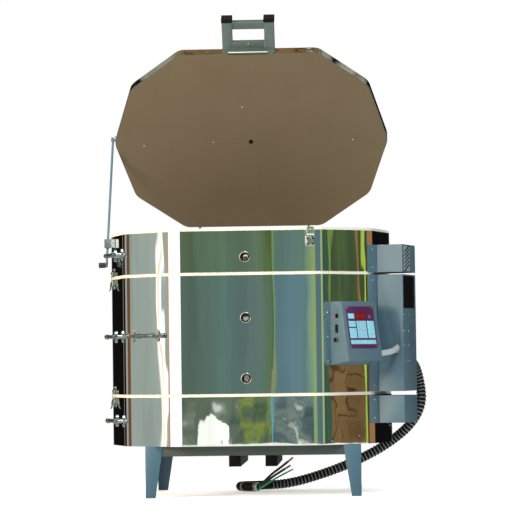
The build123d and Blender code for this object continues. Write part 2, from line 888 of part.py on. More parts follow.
def latch_bail():
    """Closed wire loop from the lever's barrel up over the keeper."""
    top = keeper_top + bail_r + part_gap
    posts = [(-bail_half, bail_y, pin_z), (-bail_half, top, pin_z), (bail_half, top, pin_z), (bail_half, bail_y, pin_z)]
    loop = None
    for a, b in zip(posts, posts[1:] + posts[:1]):
        bar = rod(a, b, bail_r)
        knob = Pos(*a) * Sphere(bail_r)
        loop = bar + knob if loop is None else loop + bar + knob
    return loop


latch_mounts = [facet(*at) * piece() for at in latch_spots.values() for piece in (latch_base, latch_keeper)]
save("latch_mounts", *latch_mounts)
for name, at in latch_spots.items():
    save(f"latch_lever_{name}", facet(*at) * latch_handle())
    save(f"latch_bail_{name}", facet(*at) * latch_bail())

# Hasp at the front

knuckle_z = rim - hasp_knuckle_below_rim
hasp_plane = facet(-90, hasp_x, knuckle_z)
barrel_out = hasp_barrel_r + part_gap


def barrel(low, high, bore):
    tube = rod((low, 0, barrel_out), (high, 0, barrel_out), hasp_barrel_r)
    return tube - rod((low - 1, 0, barrel_out), (high + 1, 0, barrel_out), bore)


def hasp_fixed():
    """Screwed leaf with a round foot and the middle barrel."""
    width, height = hasp_leaf
    foot = Pos(0, -height + width / 2) * Circle(width / 2)
    straight = height - width / 2 - hasp_barrel_r
    outline = foot + Pos(0, -hasp_barrel_r - straight / 2) * Rectangle(width, straight)
    leaf = extrude(outline, hasp_sheet) - slab((-width, width), (-hasp_barrel_r, width), (-1, hasp_sheet + 1))
    neck = slab((-5, 5), (-hasp_barrel_r - 1, -1), (0, hasp_sheet + 1))
    return leaf + neck + barrel(-5, 5, hasp_pin_r - 0.5)


def hasp_swing():
    """Strap that stands over the rim, with two barrels and a slot near its end."""
    half = hasp_strap_width / 2
    length = hasp_knuckle_below_rim + hasp_strap_above_rim
    strap = slab((-half, half), (hasp_barrel_r - 1.5, length), (part_gap, part_gap + hasp_sheet))
    strap -= slab((-6, 6), (length - 12, length - 7), (-1, 5))
    for low, high in ((-half, -5 - part_gap), (5 + part_gap, half)):
        strap += barrel(low, high, hasp_pin_r)
        strap += slab((low, high), (0, hasp_barrel_r), (part_gap, part_gap + hasp_sheet))
        strap -= rod((low - 1, 0, barrel_out), (high + 1, 0, barrel_out), hasp_pin_r + run_clear)
    return strap - slab((-5 - part_gap, 5 + part_gap), (-5, hasp_barrel_r + 1), (-1, 9))


pin_half = hasp_strap_width / 2 + 1
pin = rod((-pin_half, 0, barrel_out), (pin_half, 0, barrel_out), hasp_pin_r)
save("hasp_leaf", hasp_plane * (hasp_fixed() + pin))
save("hasp_strap", hasp_plane * hasp_swing())
catch_z = lid_bottom + lid_thickness / 2 + 4
catch_y = front_edge - part_gap
catch_plate = slab((hasp_x - 13, hasp_x + 13), (catch_y - 1.5, catch_y), (catch_z - 16, catch_z + 18))
catch_plate -= slab((hasp_x - 8, hasp_x + 8), (front_edge - 9, front_edge + 1), (catch_z + 4, catch_z + 9))
save("hasp_catch", opened(catch_plate))

# Electrical boxes

near_lift = (half_depth + skin + box_front * sind(36)) / cosd(36) - half_depth
flange_along = sind(36) * (near_lift + half_depth) + cosd(36) * box_front


def box_plan(inset):
    """Plan of a box from the front flange round to its rear wall, drawn in by a sheet."""
    front, rear, out = box_front + inset, box_rear - inset, box_out - inset
    root = corners(-skin - 2 * inset)[1]
    walls = [spot(-18, front, out), spot(-18, rear, out)]
    return [spot(-18, front, near_lift + 2 * inset), *walls, spot(-18, rear, skin + 2 * inset), root]


def box_shell(low, high):
    """Folded sheet box, open towards the body, with a flange at the front and one at the rear."""
    shell = prism(box_plan(0), low, high) - prism(box_plan(box_sheet), low + box_sheet, high - box_sheet)
    front, rear = box_front + box_sheet, box_rear - box_sheet
    open_side = [spot(-18, front, near_lift), spot(-18, front, near_lift + 6)]
    open_side += [spot(-18, rear, skin + 6), spot(-18, rear, skin - 9), corners(-skin + 9)[1]]
    shell -= prism(open_side, low + box_sheet, high - box_sheet)
    ends = (flange_along - box_flange, flange_along)
    flange = [spot(-54, ends[0], skin), spot(-54, ends[1], skin)]
    flange += [spot(-54, ends[1], skin + box_sheet), spot(-54, ends[0], skin + box_sheet)]
    shell += prism(flange, low, high)
    ends = (box_rear, box_rear + box_flange_rear)
    flange = [spot(-18, ends[0], skin), spot(-18, ends[1], skin)]
    flange += [spot(-18, ends[1], skin + box_sheet), spot(-18, ends[0], skin + box_sheet)]
    return shell + prism(flange, low, high) - jacket_block(low, high)


def louvre_cuts(low, high):
    """Slanted slots through the outer wall of the top box."""
    middle = (low + high) / 2
    cuts = []
    pitch = (high - low - 2 * louvre_end) / (louvre_count - 1)
    for index in range(louvre_count):
        height = middle + (index - (louvre_count - 1) / 2) * pitch
        at = facet(-18, louvre_along, height, box_out)
        cuts.append(at * Rot(0, 0, louvre_tilt) * Box(*louvre, 6))
    return cuts


top_shell = box_shell(*top_box)
for cut in louvre_cuts(*top_box):
    top_shell -= cut
gland_start = Vector(*spot(-18, box_rear, gland_at[0]), gland_z)
gland_end = gland_start + rightward(-18) * gland_length
link_end = Vector(*spot(-18, box_front, link_box[0]), lower_joint + link_box[1])
link_root = Vector(*spot(-54, case_right, link_case[0]), lower_joint + link_case[1])
middle_shell = box_shell(*middle_box)
middle_shell -= rod(gland_start - rightward(-18) * 5, gland_start + rightward(-18) * 5, hose_bore_r)
middle_shell -= rod(link_end - rightward(-18) * 5, link_end + rightward(-18) * 5, link_r)
save("top_box", top_shell)
save("middle_box", middle_shell)
save("bottom_box", box_shell(*bottom_box))

# What the middle box holds

inner_face = box_out - box_sheet - part_gap
relays = []
for rise in relay_rises:
    at = facet(-18, relay_along, lower_joint + rise, inner_face - relay_size[2] / 2)
    body = at * Box(*relay_size)
    for side in (-1, 1):
        body -= at * Pos(side * relay_size[0] * 0.35, 0, -relay_size[2] / 2) * Box(8, relay_size[1] - 18, 12)
    relays.append(body)
block_at = facet(-18, terminal_at[0], lower_joint + terminal_at[1], inner_face - terminal_size[2] / 2)
block = block_at * Box(*terminal_size)
for step in (-terminal_pitch, 0, terminal_pitch):
    block -= block_at * Pos(0, step, -terminal_size[2] * 0.4) * Box(terminal_size[0] + 4, 18, 14)
save("relays", *relays)
save("terminal_block", block)

# Controller

panel_lean = math.atan2(case_bottom_out - case_top_out, case_top - case_bottom)
case_middle = (case_left + case_right) / 2
case_width = case_right - case_left
ctrl_plane = Plane(
    origin=(*spot(-54, case_left, 0), 0), x_dir=(cosd(-54), sind(-54), 0), z_dir=-rightward(-54)
)


def case_profile(inset, back):
    """Side profile of the controller: out from the brick, and up."""
    grow = inset / math.cos(panel_lean)
    return [
        (back, case_back_bottom + inset),
        (case_bottom_out - grow, case_bottom + inset),
        (case_top_out - grow, case_top - inset),
        (back, case_top - inset),
    ]


def case_solid(inset, back):
    profile = make_face(Polyline(*case_profile(inset, back), close=True))
    width = case_width - 2 * inset
    return ctrl_plane * Pos(0, 0, -inset) * extrude(profile, -width)


def wall_plane(lift, height):
    """Plane on the case's left wall, at a height over the lower joint: X out from the body, Y up."""
    x, y = spot(-54, case_left, lift)
    return Plane(origin=(x, y, lower_joint + height), x_dir=(cosd(-54), sind(-54), 0), z_dir=-rightward(-54))


def controller_case():
    shell = case_solid(0, skin) - case_solid(box_sheet, skin - 5)
    for ends in ((case_left - case_flange, case_left), (case_right, case_right + case_flange_right)):
        foot = [spot(-54, ends[0], skin), spot(-54, ends[1], skin)]
        foot += [spot(-54, ends[1], skin + box_sheet), spot(-54, ends[0], skin + box_sheet)]
        shell += prism(foot, case_back_bottom, case_top)
    shell -= wall_plane(*switch_at) * Box(switch_hole[1], switch_hole[0], 6)
    shell -= wall_plane(*fuse_at) * Cylinder(fuse_r - 2, 6)
    side = rightward(-54)
    return shell - rod(link_root - side * 5, link_root + side * 5, link_r)


panel_mid = Vector(*spot(-54, case_middle, (case_top_out + case_bottom_out) / 2), (case_top + case_bottom) / 2)
panel_out = outward(-54) * math.cos(panel_lean) + Vector(0, 0, math.sin(panel_lean))
panel = Plane(origin=panel_mid, x_dir=rightward(-54), z_dir=panel_out)
keypad_plate = panel * Pos(0, keypad_rise, part_gap / 3 + keypad[2] / 2) * Box(*keypad)
circuit = panel * Pos(0, keypad_rise, -box_sheet - board_behind) * Box(*board)
post_length = board_behind - part_gap - board[2] / 2
for side in (-1, 1):
    for end in (-1, 1):
        across, along = side * (board[0] / 2 - 8), keypad_rise + end * (board[1] / 2 - 8)
        post = Pos(across, along, -box_sheet - part_gap - post_length / 2) * Cylinder(board_post_r, post_length)
        circuit += panel * post
save("controller_case", controller_case())
save("keypad_plate", keypad_plate)
save("circuit_board", circuit)


def switch_bezel():
    tall, wide, proud = switch_frame
    at = wall_plane(*switch_at)
    rim_part = at * Pos(0, 0, proud / 2) * Box(wide, tall, proud)
    sleeve = at * Pos(0, 0, -5) * Box(switch_hole[1] - 2 * part_gap, switch_hole[0] - 2 * part_gap, 10)
    inner = at * Pos(0, 0, -4) * Box(switch_hole[1] - 2.4, switch_hole[0] - 2.4, 16)
    axle_half = (switch_hole[1] - 2 * part_gap) / 2
    a = at.from_local_coords((-axle_half, 0, -2.0))
    b = at.from_local_coords((axle_half, 0, -2.0))
    return rim_part + sleeve - inner + rod(a, b, 1.0)


def rocker():
    """Rocker with two faces that meet at the middle, resting with its lower half pressed."""
    wide = switch_hole[1] - 2.4 - 2 * part_gap
    tall = (switch_hole[0] - 2.4) / 2 - 0.9
    profile = [(-tall, -3.2), (tall, -3.2), (tall, rocker_half), (0, rocker_half - 1.8), (-tall, rocker_half)]
    side = Plane(origin=(-wide / 2, 0, 0), x_dir=(0, 1, 0), z_dir=(1, 0, 0))
    body = side * extrude(make_face(Polyline(*profile, close=True)), wide)
    body -= rod((-9, 0, 0), (9, 0, 0), 1.0 + run_clear)
    return wall_plane(*switch_at) * Pos(0, 0, -2.0) * Rot(-switch_tilt, 0, 0) * body


fuse = wall_plane(*fuse_at) * (
    Pos(0, 0, 1.5 + part_gap) * Cylinder(fuse_r + 1.5, 3) + Pos(0, 0, 6) * Cylinder(fuse_r - 1, 9)
    + Pos(0, 0, -5) * Cylinder(fuse_r - 2.4, 14)
)
port = wall_plane(*port_at) * (
    Pos(0, 0, port_size[2] / 2 + part_gap) * Box(*port_size) - Pos(2, 0, port_size[2]) * Box(14, 8, 3)
)
save("switch_bezel", switch_bezel())
save("power_rocker", rocker())
save("fuse_cap", fuse)
save("data_port", port)

# Silver conduit

side_a, side_b = rightward(-54), rightward(-18)
gap_xy = link_end - link_root
turn = side_a.X * side_b.Y - side_a.Y * side_b.X
reach_a = (gap_xy.X * side_b.Y - gap_xy.Y * side_b.X) / turn
elbow = link_root + side_a * reach_a
elbow = Vector(elbow.X, elbow.Y, (link_root.Z + link_end.Z) / 2)
tube_a = link_root + side_a * ring_length
tube_b = link_end - side_b * ring_length
stub_a = tube_a + side_a * 6
stub_b = tube_b - side_b * 6
bend_length = min((elbow - stub_a).length, (elbow - stub_b).length)
bend_turn = math.radians((elbow - stub_a).get_angle(stub_b - elbow))
link_bend = 0.8 * bend_length / math.tan(bend_turn / 2)
small_bends = [12.0, link_bend, 12.0]
link_route = FilletPolyline(tube_a, stub_a, elbow, stub_b, tube_b, radius=small_bends)
link_start = Plane(origin=tube_a, z_dir=side_a)
link_tube = sweep(link_start * (Circle(link_r) - Circle(link_r - link_wall)), link_route)
print("silver conduit length", round(link_route.length), "bend", round(link_bend))


def ring_fitting(start, direction):
    ring = rod(start, start + direction * ring_length, ring_r)
    ring = chamfer(ring.edges().sort_by(lambda e: (e.center() - start).dot(direction))[-1], 1.5)
    return ring - rod(start - direction, start + direction * (ring_length + 1), link_r - link_wall)


save("link_conduit", link_tube)
save("link_rings", ring_fitting(link_root, side_a), ring_fitting(link_end, side_b * -1))

# Power conduit and wires


def bend_radii(points):
    """As large a bend at each corner as its two runs allow."""
    radii = []
    for before, here, after in zip(points, points[1:], points[2:]):
        one, two = here - before, after - here
        half_turn = math.radians(one.get_angle(two)) / 2
        radii.append(0.45 * min(one.length, two.length) / math.tan(half_turn))
    return radii


def route(name, points):
    radii = bend_radii(points)
    path = FilletPolyline(*points, radius=radii)
    print(name, "length", round(path.length), "bends", [round(r) for r in radii])
    return path


def ribbed_hose(path):
    """Corrugated tube: every rib is four circles on an axis that turns no more than it must."""
    length = path.length
    count = int((length - 2 * hose_r) / rib_pitch)
    pitch = (length - 2 * hose_r) / count
    stops = [(0.0, hose_valley_r)]
    for k in range(count):
        base = hose_r + k * pitch
        for share, radius in ((0.1, hose_valley_r), (0.3, hose_r), (0.6, hose_r), (0.8, hose_valley_r)):
            stops.append((base + share * pitch, radius))
    stops.append((length, hose_valley_r))
    steady = Vector(0, 0, 1)
    sections = []
    for at, radius in stops:
        tangent = path.tangent_at(at / length)
        steady = (steady - tangent * steady.dot(tangent)).normalized()
        sections.append(Plane(origin=path.position_at(at / length), x_dir=steady, z_dir=tangent) * Circle(radius))
    skin_solid = loft(sections, ruled=True)
    start = Plane(origin=path.position_at(0), z_dir=path.tangent_at(0))
    core = sweep(start * Circle(hose_bore_r), path)
    print("ribs", count, "pitch", round(pitch, 2))
    return skin_solid - core


hose_ends = [gland_end + rightward(-18) * reach for reach in (part_gap, hose_first)]
hose_route = route("power conduit", hose_ends + [Vector(*p) for p in hose_points])
save("power_conduit", ribbed_hose(hose_route))


def power_gland():
    """Hexagon nut and a stepped collar round the conduit's end."""
    at = Plane(origin=gland_start, x_dir=(0, 0, 1), z_dir=rightward(-18))
    nut = at * extrude(RegularPolygon(gland_r + 3, 6), 10)
    collar = at * Pos(0, 0, 10) * extrude(Circle(gland_r - 1), gland_length - 10)
    bore = at * Pos(0, 0, -1) * extrude(Circle(hose_bore_r), gland_length + 2)
    return nut + collar - bore


save("power_gland", power_gland())

mouth = Vector(*hose_points[-1])
mouth_way = (mouth - Vector(*hose_points[-2])).normalized()
mouth_side = Vector(-mouth_way.Y, mouth_way.X, 0)


def wire(name, points, radius, side, rise):
    """Insulated wire from inside the conduit's mouth, and its bare copper end."""
    offset = mouth_side * side + Vector(0, 0, rise)
    inner = mouth - mouth_way * plug_depth + offset
    edge = mouth + mouth_way * 4 + offset
    path = route(name, [inner, edge] + [Vector(*p) for p in points])
    tube = sweep(Plane(origin=inner, z_dir=path.tangent_at(0)) * Circle(radius), path)
    end, way = path.position_at(1), path.tangent_at(1)
    return tube, rod(end, end + way * copper_bare, copper_r)


long_tube, long_tip = wire("long black wire", black_long, wire_r, 4, 4)
short_tube, short_tip = wire("short black wire", black_short, wire_r, -4, 2)
green_tube, green_tip = wire("green wire", green_wire, green_r, 1, -6)
plug = rod(mouth - mouth_way * (plug_depth + 8), mouth - mouth_way * plug_depth, hose_bore_r)
save("wires_black", long_tube, short_tube, plug)
save("wire_green", green_tube)
save("copper_tips", long_tip, short_tip, green_tip)

# Frame: the origin moves to the middle of the box round everything but the loose cords, and every
# node is written from there

cords = ("power_conduit", "wires_black", "wire_green", "copper_tips")
boxes = [solid.bounding_box() for name, solids in parts.items() if name not in cords for solid in solids]
middle_x = (min(b.min.X for b in boxes) + max(b.max.X for b in boxes)) / 2
middle_y = (min(b.min.Y for b in boxes) + max(b.max.Y for b in boxes)) / 2
print("chamber middle", round(-middle_x, 3), round(-middle_y, 3))
for name, solids in parts.items():
    placed = [Pos(-middle_x, -middle_y, 0) * solid for solid in solids]
    export_step(placed[0] if len(placed) == 1 else Compound(children=placed), f"parts/{name}.step")
    print(name, len(placed), round(sum(s.volume for s in placed)))
print("rim", rim, "hinge", hinge_z, "lid top", lid_top)
print("brace pivot open", pivot_open, "guide", guide_z)
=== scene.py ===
import json
import math

import bmesh
import bpy
from bpy.props import FloatProperty, FloatVectorProperty, IntProperty, PointerProperty
from bpy.types import Operator, Panel, PropertyGroup
from mathutils import Matrix, Vector

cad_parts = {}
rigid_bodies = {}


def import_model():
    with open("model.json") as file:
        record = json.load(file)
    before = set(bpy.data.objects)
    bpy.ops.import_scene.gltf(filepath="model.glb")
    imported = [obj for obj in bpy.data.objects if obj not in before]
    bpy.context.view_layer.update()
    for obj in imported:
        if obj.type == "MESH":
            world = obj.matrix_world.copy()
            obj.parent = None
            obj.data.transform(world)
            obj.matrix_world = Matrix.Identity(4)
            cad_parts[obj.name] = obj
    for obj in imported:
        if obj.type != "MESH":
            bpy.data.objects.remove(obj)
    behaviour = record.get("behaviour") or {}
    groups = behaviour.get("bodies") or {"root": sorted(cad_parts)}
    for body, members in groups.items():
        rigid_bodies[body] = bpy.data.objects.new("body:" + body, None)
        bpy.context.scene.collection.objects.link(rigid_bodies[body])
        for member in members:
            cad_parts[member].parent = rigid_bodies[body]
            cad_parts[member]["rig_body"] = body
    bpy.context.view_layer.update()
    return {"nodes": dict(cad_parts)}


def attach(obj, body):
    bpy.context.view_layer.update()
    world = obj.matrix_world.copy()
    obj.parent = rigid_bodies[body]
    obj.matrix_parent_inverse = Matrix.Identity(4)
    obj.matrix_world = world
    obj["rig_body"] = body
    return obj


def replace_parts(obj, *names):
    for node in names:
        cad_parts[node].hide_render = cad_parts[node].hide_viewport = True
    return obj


bl_info = {
    "name": "Oval Kiln",
    "version": (1, 0, 0),
    "blender": (4, 5, 0),
    "location": "View3D > Sidebar > Kiln",
    "description": "Finishes, fittings, cords and a stage for a large oval electric kiln",
    "category": "Add Mesh",
}

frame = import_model()

# Places shared with the solid model, in metres
CHAMBER = Vector((-0.026092, -0.018981, 0))
HALF_DEPTH = 0.37305
INSERT = 0.308
SKIN = 0.00185
SHEET = SKIN + 0.0015
LID_OPEN = math.radians(62)
HINGE_Y = 0.423
HINGE_Z = 1.02015
LOWER_JOINT = 0.3855
UPPER_JOINT = 0.8427
FLOOR_TOP = 0.2712
ROW = 0.1143
WALL = 0.0762
LID_TOP = 1.07845
LID_UNDER = LID_TOP - 0.0638
BOX_FACE = 0.118
PEEPHOLE_HEIGHTS = (0.90485, 0.67625, 0.44765)
HANDLE_HEIGHTS = (0.928, 0.6141, 0.29025)
PAD_WIDTH, PAD_HEIGHT = 0.127, 0.16
PAD_FACE = 0.0017
PRINT = 0.00245
BODY = "kiln_body"

# Compass angles of the wall facets, in degrees
FRONT_FLAT = -90
CONTROLLER = -54
BOXES = -18
RIGHT_END, LEFT_END = 18, 198
BACK_RIGHT, FRONT_LEFT = 54, 234

X_AXIS, Y_AXIS, Z_AXIS = Vector((1, 0, 0)), Vector((0, 1, 0)), Vector((0, 0, 1))
shift = Matrix.Translation


# Geometry helpers


def outward(facing):
    angle = math.radians(facing)
    return Vector((math.cos(angle), math.sin(angle), 0))


def rightward(facing):
    angle = math.radians(facing)
    return Vector((-math.sin(angle), math.cos(angle), 0))


def axes(origin, x_axis, z_axis):
    """Matrix of a plane from its origin, X direction and normal."""
    z_axis = z_axis.normalized()
    y_axis = z_axis.cross(x_axis).normalized()
    x_axis = y_axis.cross(z_axis)
    turn = Matrix((x_axis, y_axis, z_axis)).transposed()
    return shift(origin) @ turn.to_4x4()


def facet(facing, along=0.0, height=0.0, lift=SKIN):
    """Plane on a wall facet: X to the right seen from outside, Y up, Z outwards."""
    side = 0 if abs(facing) == 90 else math.copysign(1, outward(facing).x)
    point = CHAMBER + Vector((side * INSERT / 2, 0, height))
    point += outward(facing) * (HALF_DEPTH + lift) + rightward(facing) * along
    return axes(point, rightward(facing), outward(facing))


def lid_swing():
    """From the closed lid to the lid at rest."""
    hinge = CHAMBER + Vector((0, HINGE_Y, HINGE_Z))
    return shift(hinge) @ Matrix.Rotation(-LID_OPEN, 4, "X") @ shift(-hinge)


def on_lid(x, y, z, x_axis, z_axis):
    """Plane that rides on the lid, given by a place and directions on the closed lid."""
    return lid_swing() @ axes(CHAMBER + Vector((x, y, z)), x_axis, z_axis)


def controller_panel():
    """Plane on the controller's sloping front, with Y up the slope."""
    top, bottom, high, low = 0.075, 0.119, LOWER_JOINT + 0.3465, LOWER_JOINT + 0.1225
    lean = math.atan2(bottom - top, high - low)
    middle = facet(CONTROLLER, 0.002, (high + low) / 2, (top + bottom) / 2).translation
    normal = outward(CONTROLLER) * math.cos(lean) + Vector((0, 0, math.sin(lean)))
    return axes(middle, rightward(CONTROLLER), normal)


def controller_side(lift, height, proud=0.0):
    """Plane on the controller's left wall: X away from the kiln, Y up."""
    point = facet(CONTROLLER, -0.076, height, lift).translation
    return axes(point - rightward(CONTROLLER) * proud, outward(CONTROLLER), -rightward(CONTROLLER))


def on_pad(u, v, lift=PAD_FACE):
    """Place on the keypad from shares of its width and height, counted from the top left."""
    place = ((u - 0.5) * PAD_WIDTH, 0.014 + (0.5 - v) * PAD_HEIGHT, lift)
    return controller_panel() @ shift(place)


def placed(name, data):
    """Object linked to the scene."""
    thing = bpy.data.objects.new(name, data)
    bpy.context.scene.collection.objects.link(thing)
    return thing


def mesh_from(name, bm):
    mesh = bpy.data.meshes.new(name)
    bm.to_mesh(mesh)
    bm.free()
    return mesh


def piece_from(name, bm, look, body, smooth=30, turn=False):
    """A piece with a finish that rides on a body; its normals are turned outwards if asked."""
    if turn:
        bmesh.ops.recalc_face_normals(bm, faces=bm.faces)
    for face in bm.faces:
        face.smooth = smooth > 0
    for edge in bm.edges:
        if smooth and len(edge.link_faces) == 2:
            edge.smooth = edge.calc_face_angle(0) < math.radians(smooth)
    piece = placed(name, mesh_from(name, bm))
    piece.data.materials.append(finish(look))
    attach(piece, body)
    return piece


def finish_piece(name, bm, look, body=BODY, smooth=30):
    return piece_from(name, bm, look, body, smooth, True)


def bevel(bm, edges, width, segments=2, **options):
    bmesh.ops.bevel(
        bm, geom=list(edges), offset=width, segments=segments, profile=0.5,
        affect="EDGES", material=-1, **options,
    )


def edges_of(verts):
    return {edge for vert in verts for edge in vert.link_edges}


def block_piece(name, blocks, width, look, body=BODY, smooth=30, segments=2):
    """A piece of one or more boxes with soft edges, each centred on its place and in its axes."""
    bm = bmesh.new()
    for place, size in blocks:
        made = bmesh.ops.create_cube(bm, size=1.0, matrix=place @ Matrix.Diagonal((*size, 1)))
        if width:
            bevel(bm, edges_of(made["verts"]), width, segments, clamp_overlap=True)
    return finish_piece(name, bm, look, body, smooth)


def add_turned(bm, profile, segments):
    """Solid of revolution about the Z axis from (radius, height) points."""
    verts = [bm.verts.new(Vector((r, 0, z))) for r, z in profile]
    edges = [bm.edges.new(pair) for pair in zip(verts, verts[1:])]
    bmesh.ops.spin(
        bm, geom=verts + edges, cent=(0, 0, 0), axis=(0, 0, 1), dvec=(0, 0, 0),
        angle=math.tau, steps=segments, use_merge=True, use_duplicate=False,
    )
    bmesh.ops.remove_doubles(bm, verts=bm.verts, dist=1e-6)


def add_stamped(bm, stamp, place):
    """Copy of a small mesh at a place."""
    start = len(bm.verts)
    bm.from_mesh(stamp)
    bm.verts.ensure_lookup_table()
    bmesh.ops.transform(bm, matrix=place, verts=bm.verts[start:])


def stamp_of(build, turn=True):
    """Small mesh made once and copied many times; its normals are turned outwards if asked."""
    bm = bmesh.new()
    build(bm)
    if turn:
        bmesh.ops.recalc_face_normals(bm, faces=bm.faces)
    return mesh_from("stamp", bm)


def repeated(name, stamp, spots, look, body=BODY, smooth=30):
    """One piece that holds a copy of a small mesh at each spot."""
    bm = bmesh.new()
    for place in spots:
        add_stamped(bm, stamp, place)
    return piece_from(name, bm, look, body, smooth)


def turned_piece(name, spots, profile, segments, look, body=BODY, smooth=30):
    """One piece that repeats a turned shape; a profile that runs outwards over the top faces up and out."""
    stamp = stamp_of(lambda bm: add_turned(bm, profile, segments), turn=False)
    return repeated(name, stamp, spots, look, body, smooth)


def softened(node, ending, look, width, smooth=40, flatten=True):
    """Copy of a solid with its sharp edges rounded, in place of the solid."""
    bm = bmesh.new()
    bm.from_mesh(frame["nodes"][node].data)
    bmesh.ops.remove_doubles(bm, verts=bm.verts, dist=1e-6)
    if flatten:
        bmesh.ops.dissolve_limit(bm, angle_limit=math.radians(1), verts=bm.verts, edges=bm.edges)
    sharp = [e for e in bm.edges if len(e.link_faces) == 2 and e.calc_face_angle(0) > math.radians(35)]
    bevel(bm, sharp, width, clamp_overlap=True)
    piece = piece_from(f"{node}_{ending}", bm, look, frame["nodes"][node]["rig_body"], smooth)
    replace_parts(piece, node)


def dress(look, nodes):
    """Give solids their finish."""
    for node in nodes.split():
        solid = frame["nodes"][node]
        solid.data.materials.clear()
        solid.data.materials.append(finish(look))


# Shader helpers


class Net:
    """A shader tree, with short ways to add the nodes that the finishes need."""

    def __init__(self, tree):
        self.tree = tree

    def feed(self, node, inputs):
        """Set or link a node's inputs, by name or number."""
        for key, value in inputs.items():
            socket = node.inputs[key]
            if isinstance(value, bpy.types.NodeSocket):
                self.tree.links.new(value, socket)
            else:
                socket.default_value = (*value, 1) if socket.type == "RGBA" else value

    def node(self, kind, inputs=None, **settings):
        node = self.tree.nodes.new("ShaderNode" + kind)
        for label, value in settings.items():
            setattr(node, label, value)
        self.feed(node, inputs or {})
        return node

    def add(self, kind, inputs=None, output=0, **settings):
        """New node, given as one of its outputs."""
        return self.node(kind, inputs, **settings).outputs[output]

    def calc(self, operation, first, second):
        return self.add("Math", {0: first, 1: second}, operation=operation)

    def times(self, first, second):
        return self.calc("MULTIPLY", first, second)

    def between(self, value, low, high):
        """One where a value lies between two limits, and nought elsewhere."""
        return self.times(self.calc("GREATER_THAN", value, low), self.calc("LESS_THAN", value, high))

    def mix(self, factor, first, second, way="MIX"):
        inputs = {"Factor": factor, "A": first, "B": second}
        return self.add("Mix", inputs, "Result", data_type="RGBA", blend_type=way)

    def spread(self, value, low, high, to_low=0.0, to_high=1.0, way="LINEAR"):
        """A value's range stretched to another range."""
        inputs = {"Value": value, "From Min": low, "From Max": high, "To Min": to_low, "To Max": to_high}
        return self.add("MapRange", inputs, "Result", interpolation_type=way)

    def noise(self, scale, detail, stretch=(1, 1, 1)):
        """Noise on Object coordinates."""
        place = self.add("TexCoord", output="Object")
        mapped = self.add("Mapping", {"Vector": place, "Scale": stretch})
        return self.add("TexNoise", {"Vector": mapped, "Scale": scale, "Detail": detail}, "Fac")

    def bump(self, height, distance, strength):
        return self.add("Bump", {"Height": height, "Distance": distance, "Strength": strength})

    def ramp(self, value, stops, low=0, high=1, way="LINEAR"):
        """Colours along a value, from stops given in its own units."""
        node = self.node("ValToRGB", {"Fac": self.spread(value, low, high)})
        elements = node.color_ramp.elements
        node.color_ramp.interpolation = way
        while len(elements) < len(stops):
            elements.new(0.5)
        for element, (place, *colour) in zip(elements, stops):
            element.position = (place - low) / (high - low)
        for element, (place, *colour) in zip(elements, stops):
            element.color = (*colour, 1)
        return node.outputs["Color"]

    def effect(self, name, **values):
        """A shared effect, whose group is built the first time that it is asked for."""
        if name not in GROUPS:
            GROUPS[name] = shader_group(name, *EFFECTS[name])
        return self.add("Group", values, node_tree=GROUPS[name])


def shader_group(name, build, inputs, output):
    """Shader node group with named inputs and one output."""
    tree = bpy.data.node_groups.new(name, "ShaderNodeTree")
    for label, kind in inputs.items():
        tree.interface.new_socket(name=label, in_out="INPUT", socket_type="NodeSocket" + kind)
    tree.interface.new_socket(name=output[0], in_out="OUTPUT", socket_type="NodeSocket" + output[1])
    source, sink = tree.nodes.new("NodeGroupInput"), tree.nodes.new("NodeGroupOutput")
    result = build(Net(tree), *(source.outputs[label] for label in inputs))
    tree.links.new(result, sink.inputs[0])
    return tree


def mottle(net, scale, contrast, light, dark):
    """Two colours mixed by cloudy noise."""
    half = net.times(contrast, 0.5)
    low, high = net.calc("SUBTRACT", 0.5, half), net.calc("ADD", 0.5, half)
    return net.mix(net.spread(net.noise(scale, 6.0), low, high), light, dark)


def smudge(net, scale, low, high):
    """Roughness that wanders between two values, as on handled or wiped metal."""
    return net.spread(net.noise(scale, 4.0), 0.3, 0.7, low, high)


def grain(net, scale, strength):
    """Fine surface height, such as powder paint, pores or moulded plastic."""
    return net.bump(net.noise(scale, 3.0), 0.0004, strength)


EFFECTS = {
    "Mottle": (
        mottle, {"Scale": "Float", "Contrast": "Float", "Light": "Color", "Dark": "Color"}, ("Color", "Color")
    ),
    "Smudge": (smudge, {"Scale": "Float", "Low": "Float", "High": "Float"}, ("Roughness", "Float")),
    "Grain": (grain, {"Scale": "Float", "Strength": "Float"}, ("Normal", "Vector")),
}
GROUPS = {}


# Finishes: each function gives what goes into the Principled shader


def coated(net, light, dark, scale, contrast, rough, metal=0.0, pores=(900.0, 0.15), coat=0.0, gleam=0.5):
    """Finish with clouded colour, wandering roughness and a fine grain."""
    return {
        "Base Color": net.effect("Mottle", Scale=scale, Contrast=contrast, Light=light, Dark=dark),
        "Roughness": net.effect("Smudge", Scale=scale * 0.7, Low=rough[0], High=rough[1]),
        "Normal": net.effect("Grain", Scale=pores[0], Strength=pores[1]),
        "Metallic": metal,
        "Coat Weight": coat,
        "Specular IOR Level": gleam,
    }


def polished_sheet(net, tint):
    """Bright rolled sheet: tall soft ripples that stretch what it mirrors."""
    dark = tuple(c * 0.93 for c in tint)
    return {
        "Base Color": net.effect("Mottle", Scale=3.0, Contrast=0.8, Light=tint, Dark=dark),
        "Roughness": net.effect("Smudge", Scale=9.0, Low=0.004, High=0.02),
        "Normal": net.bump(net.noise(7.0, 2.0, (1.0, 1.0, 0.22)), 0.004, 0.09),
        "Metallic": 1.0,
    }


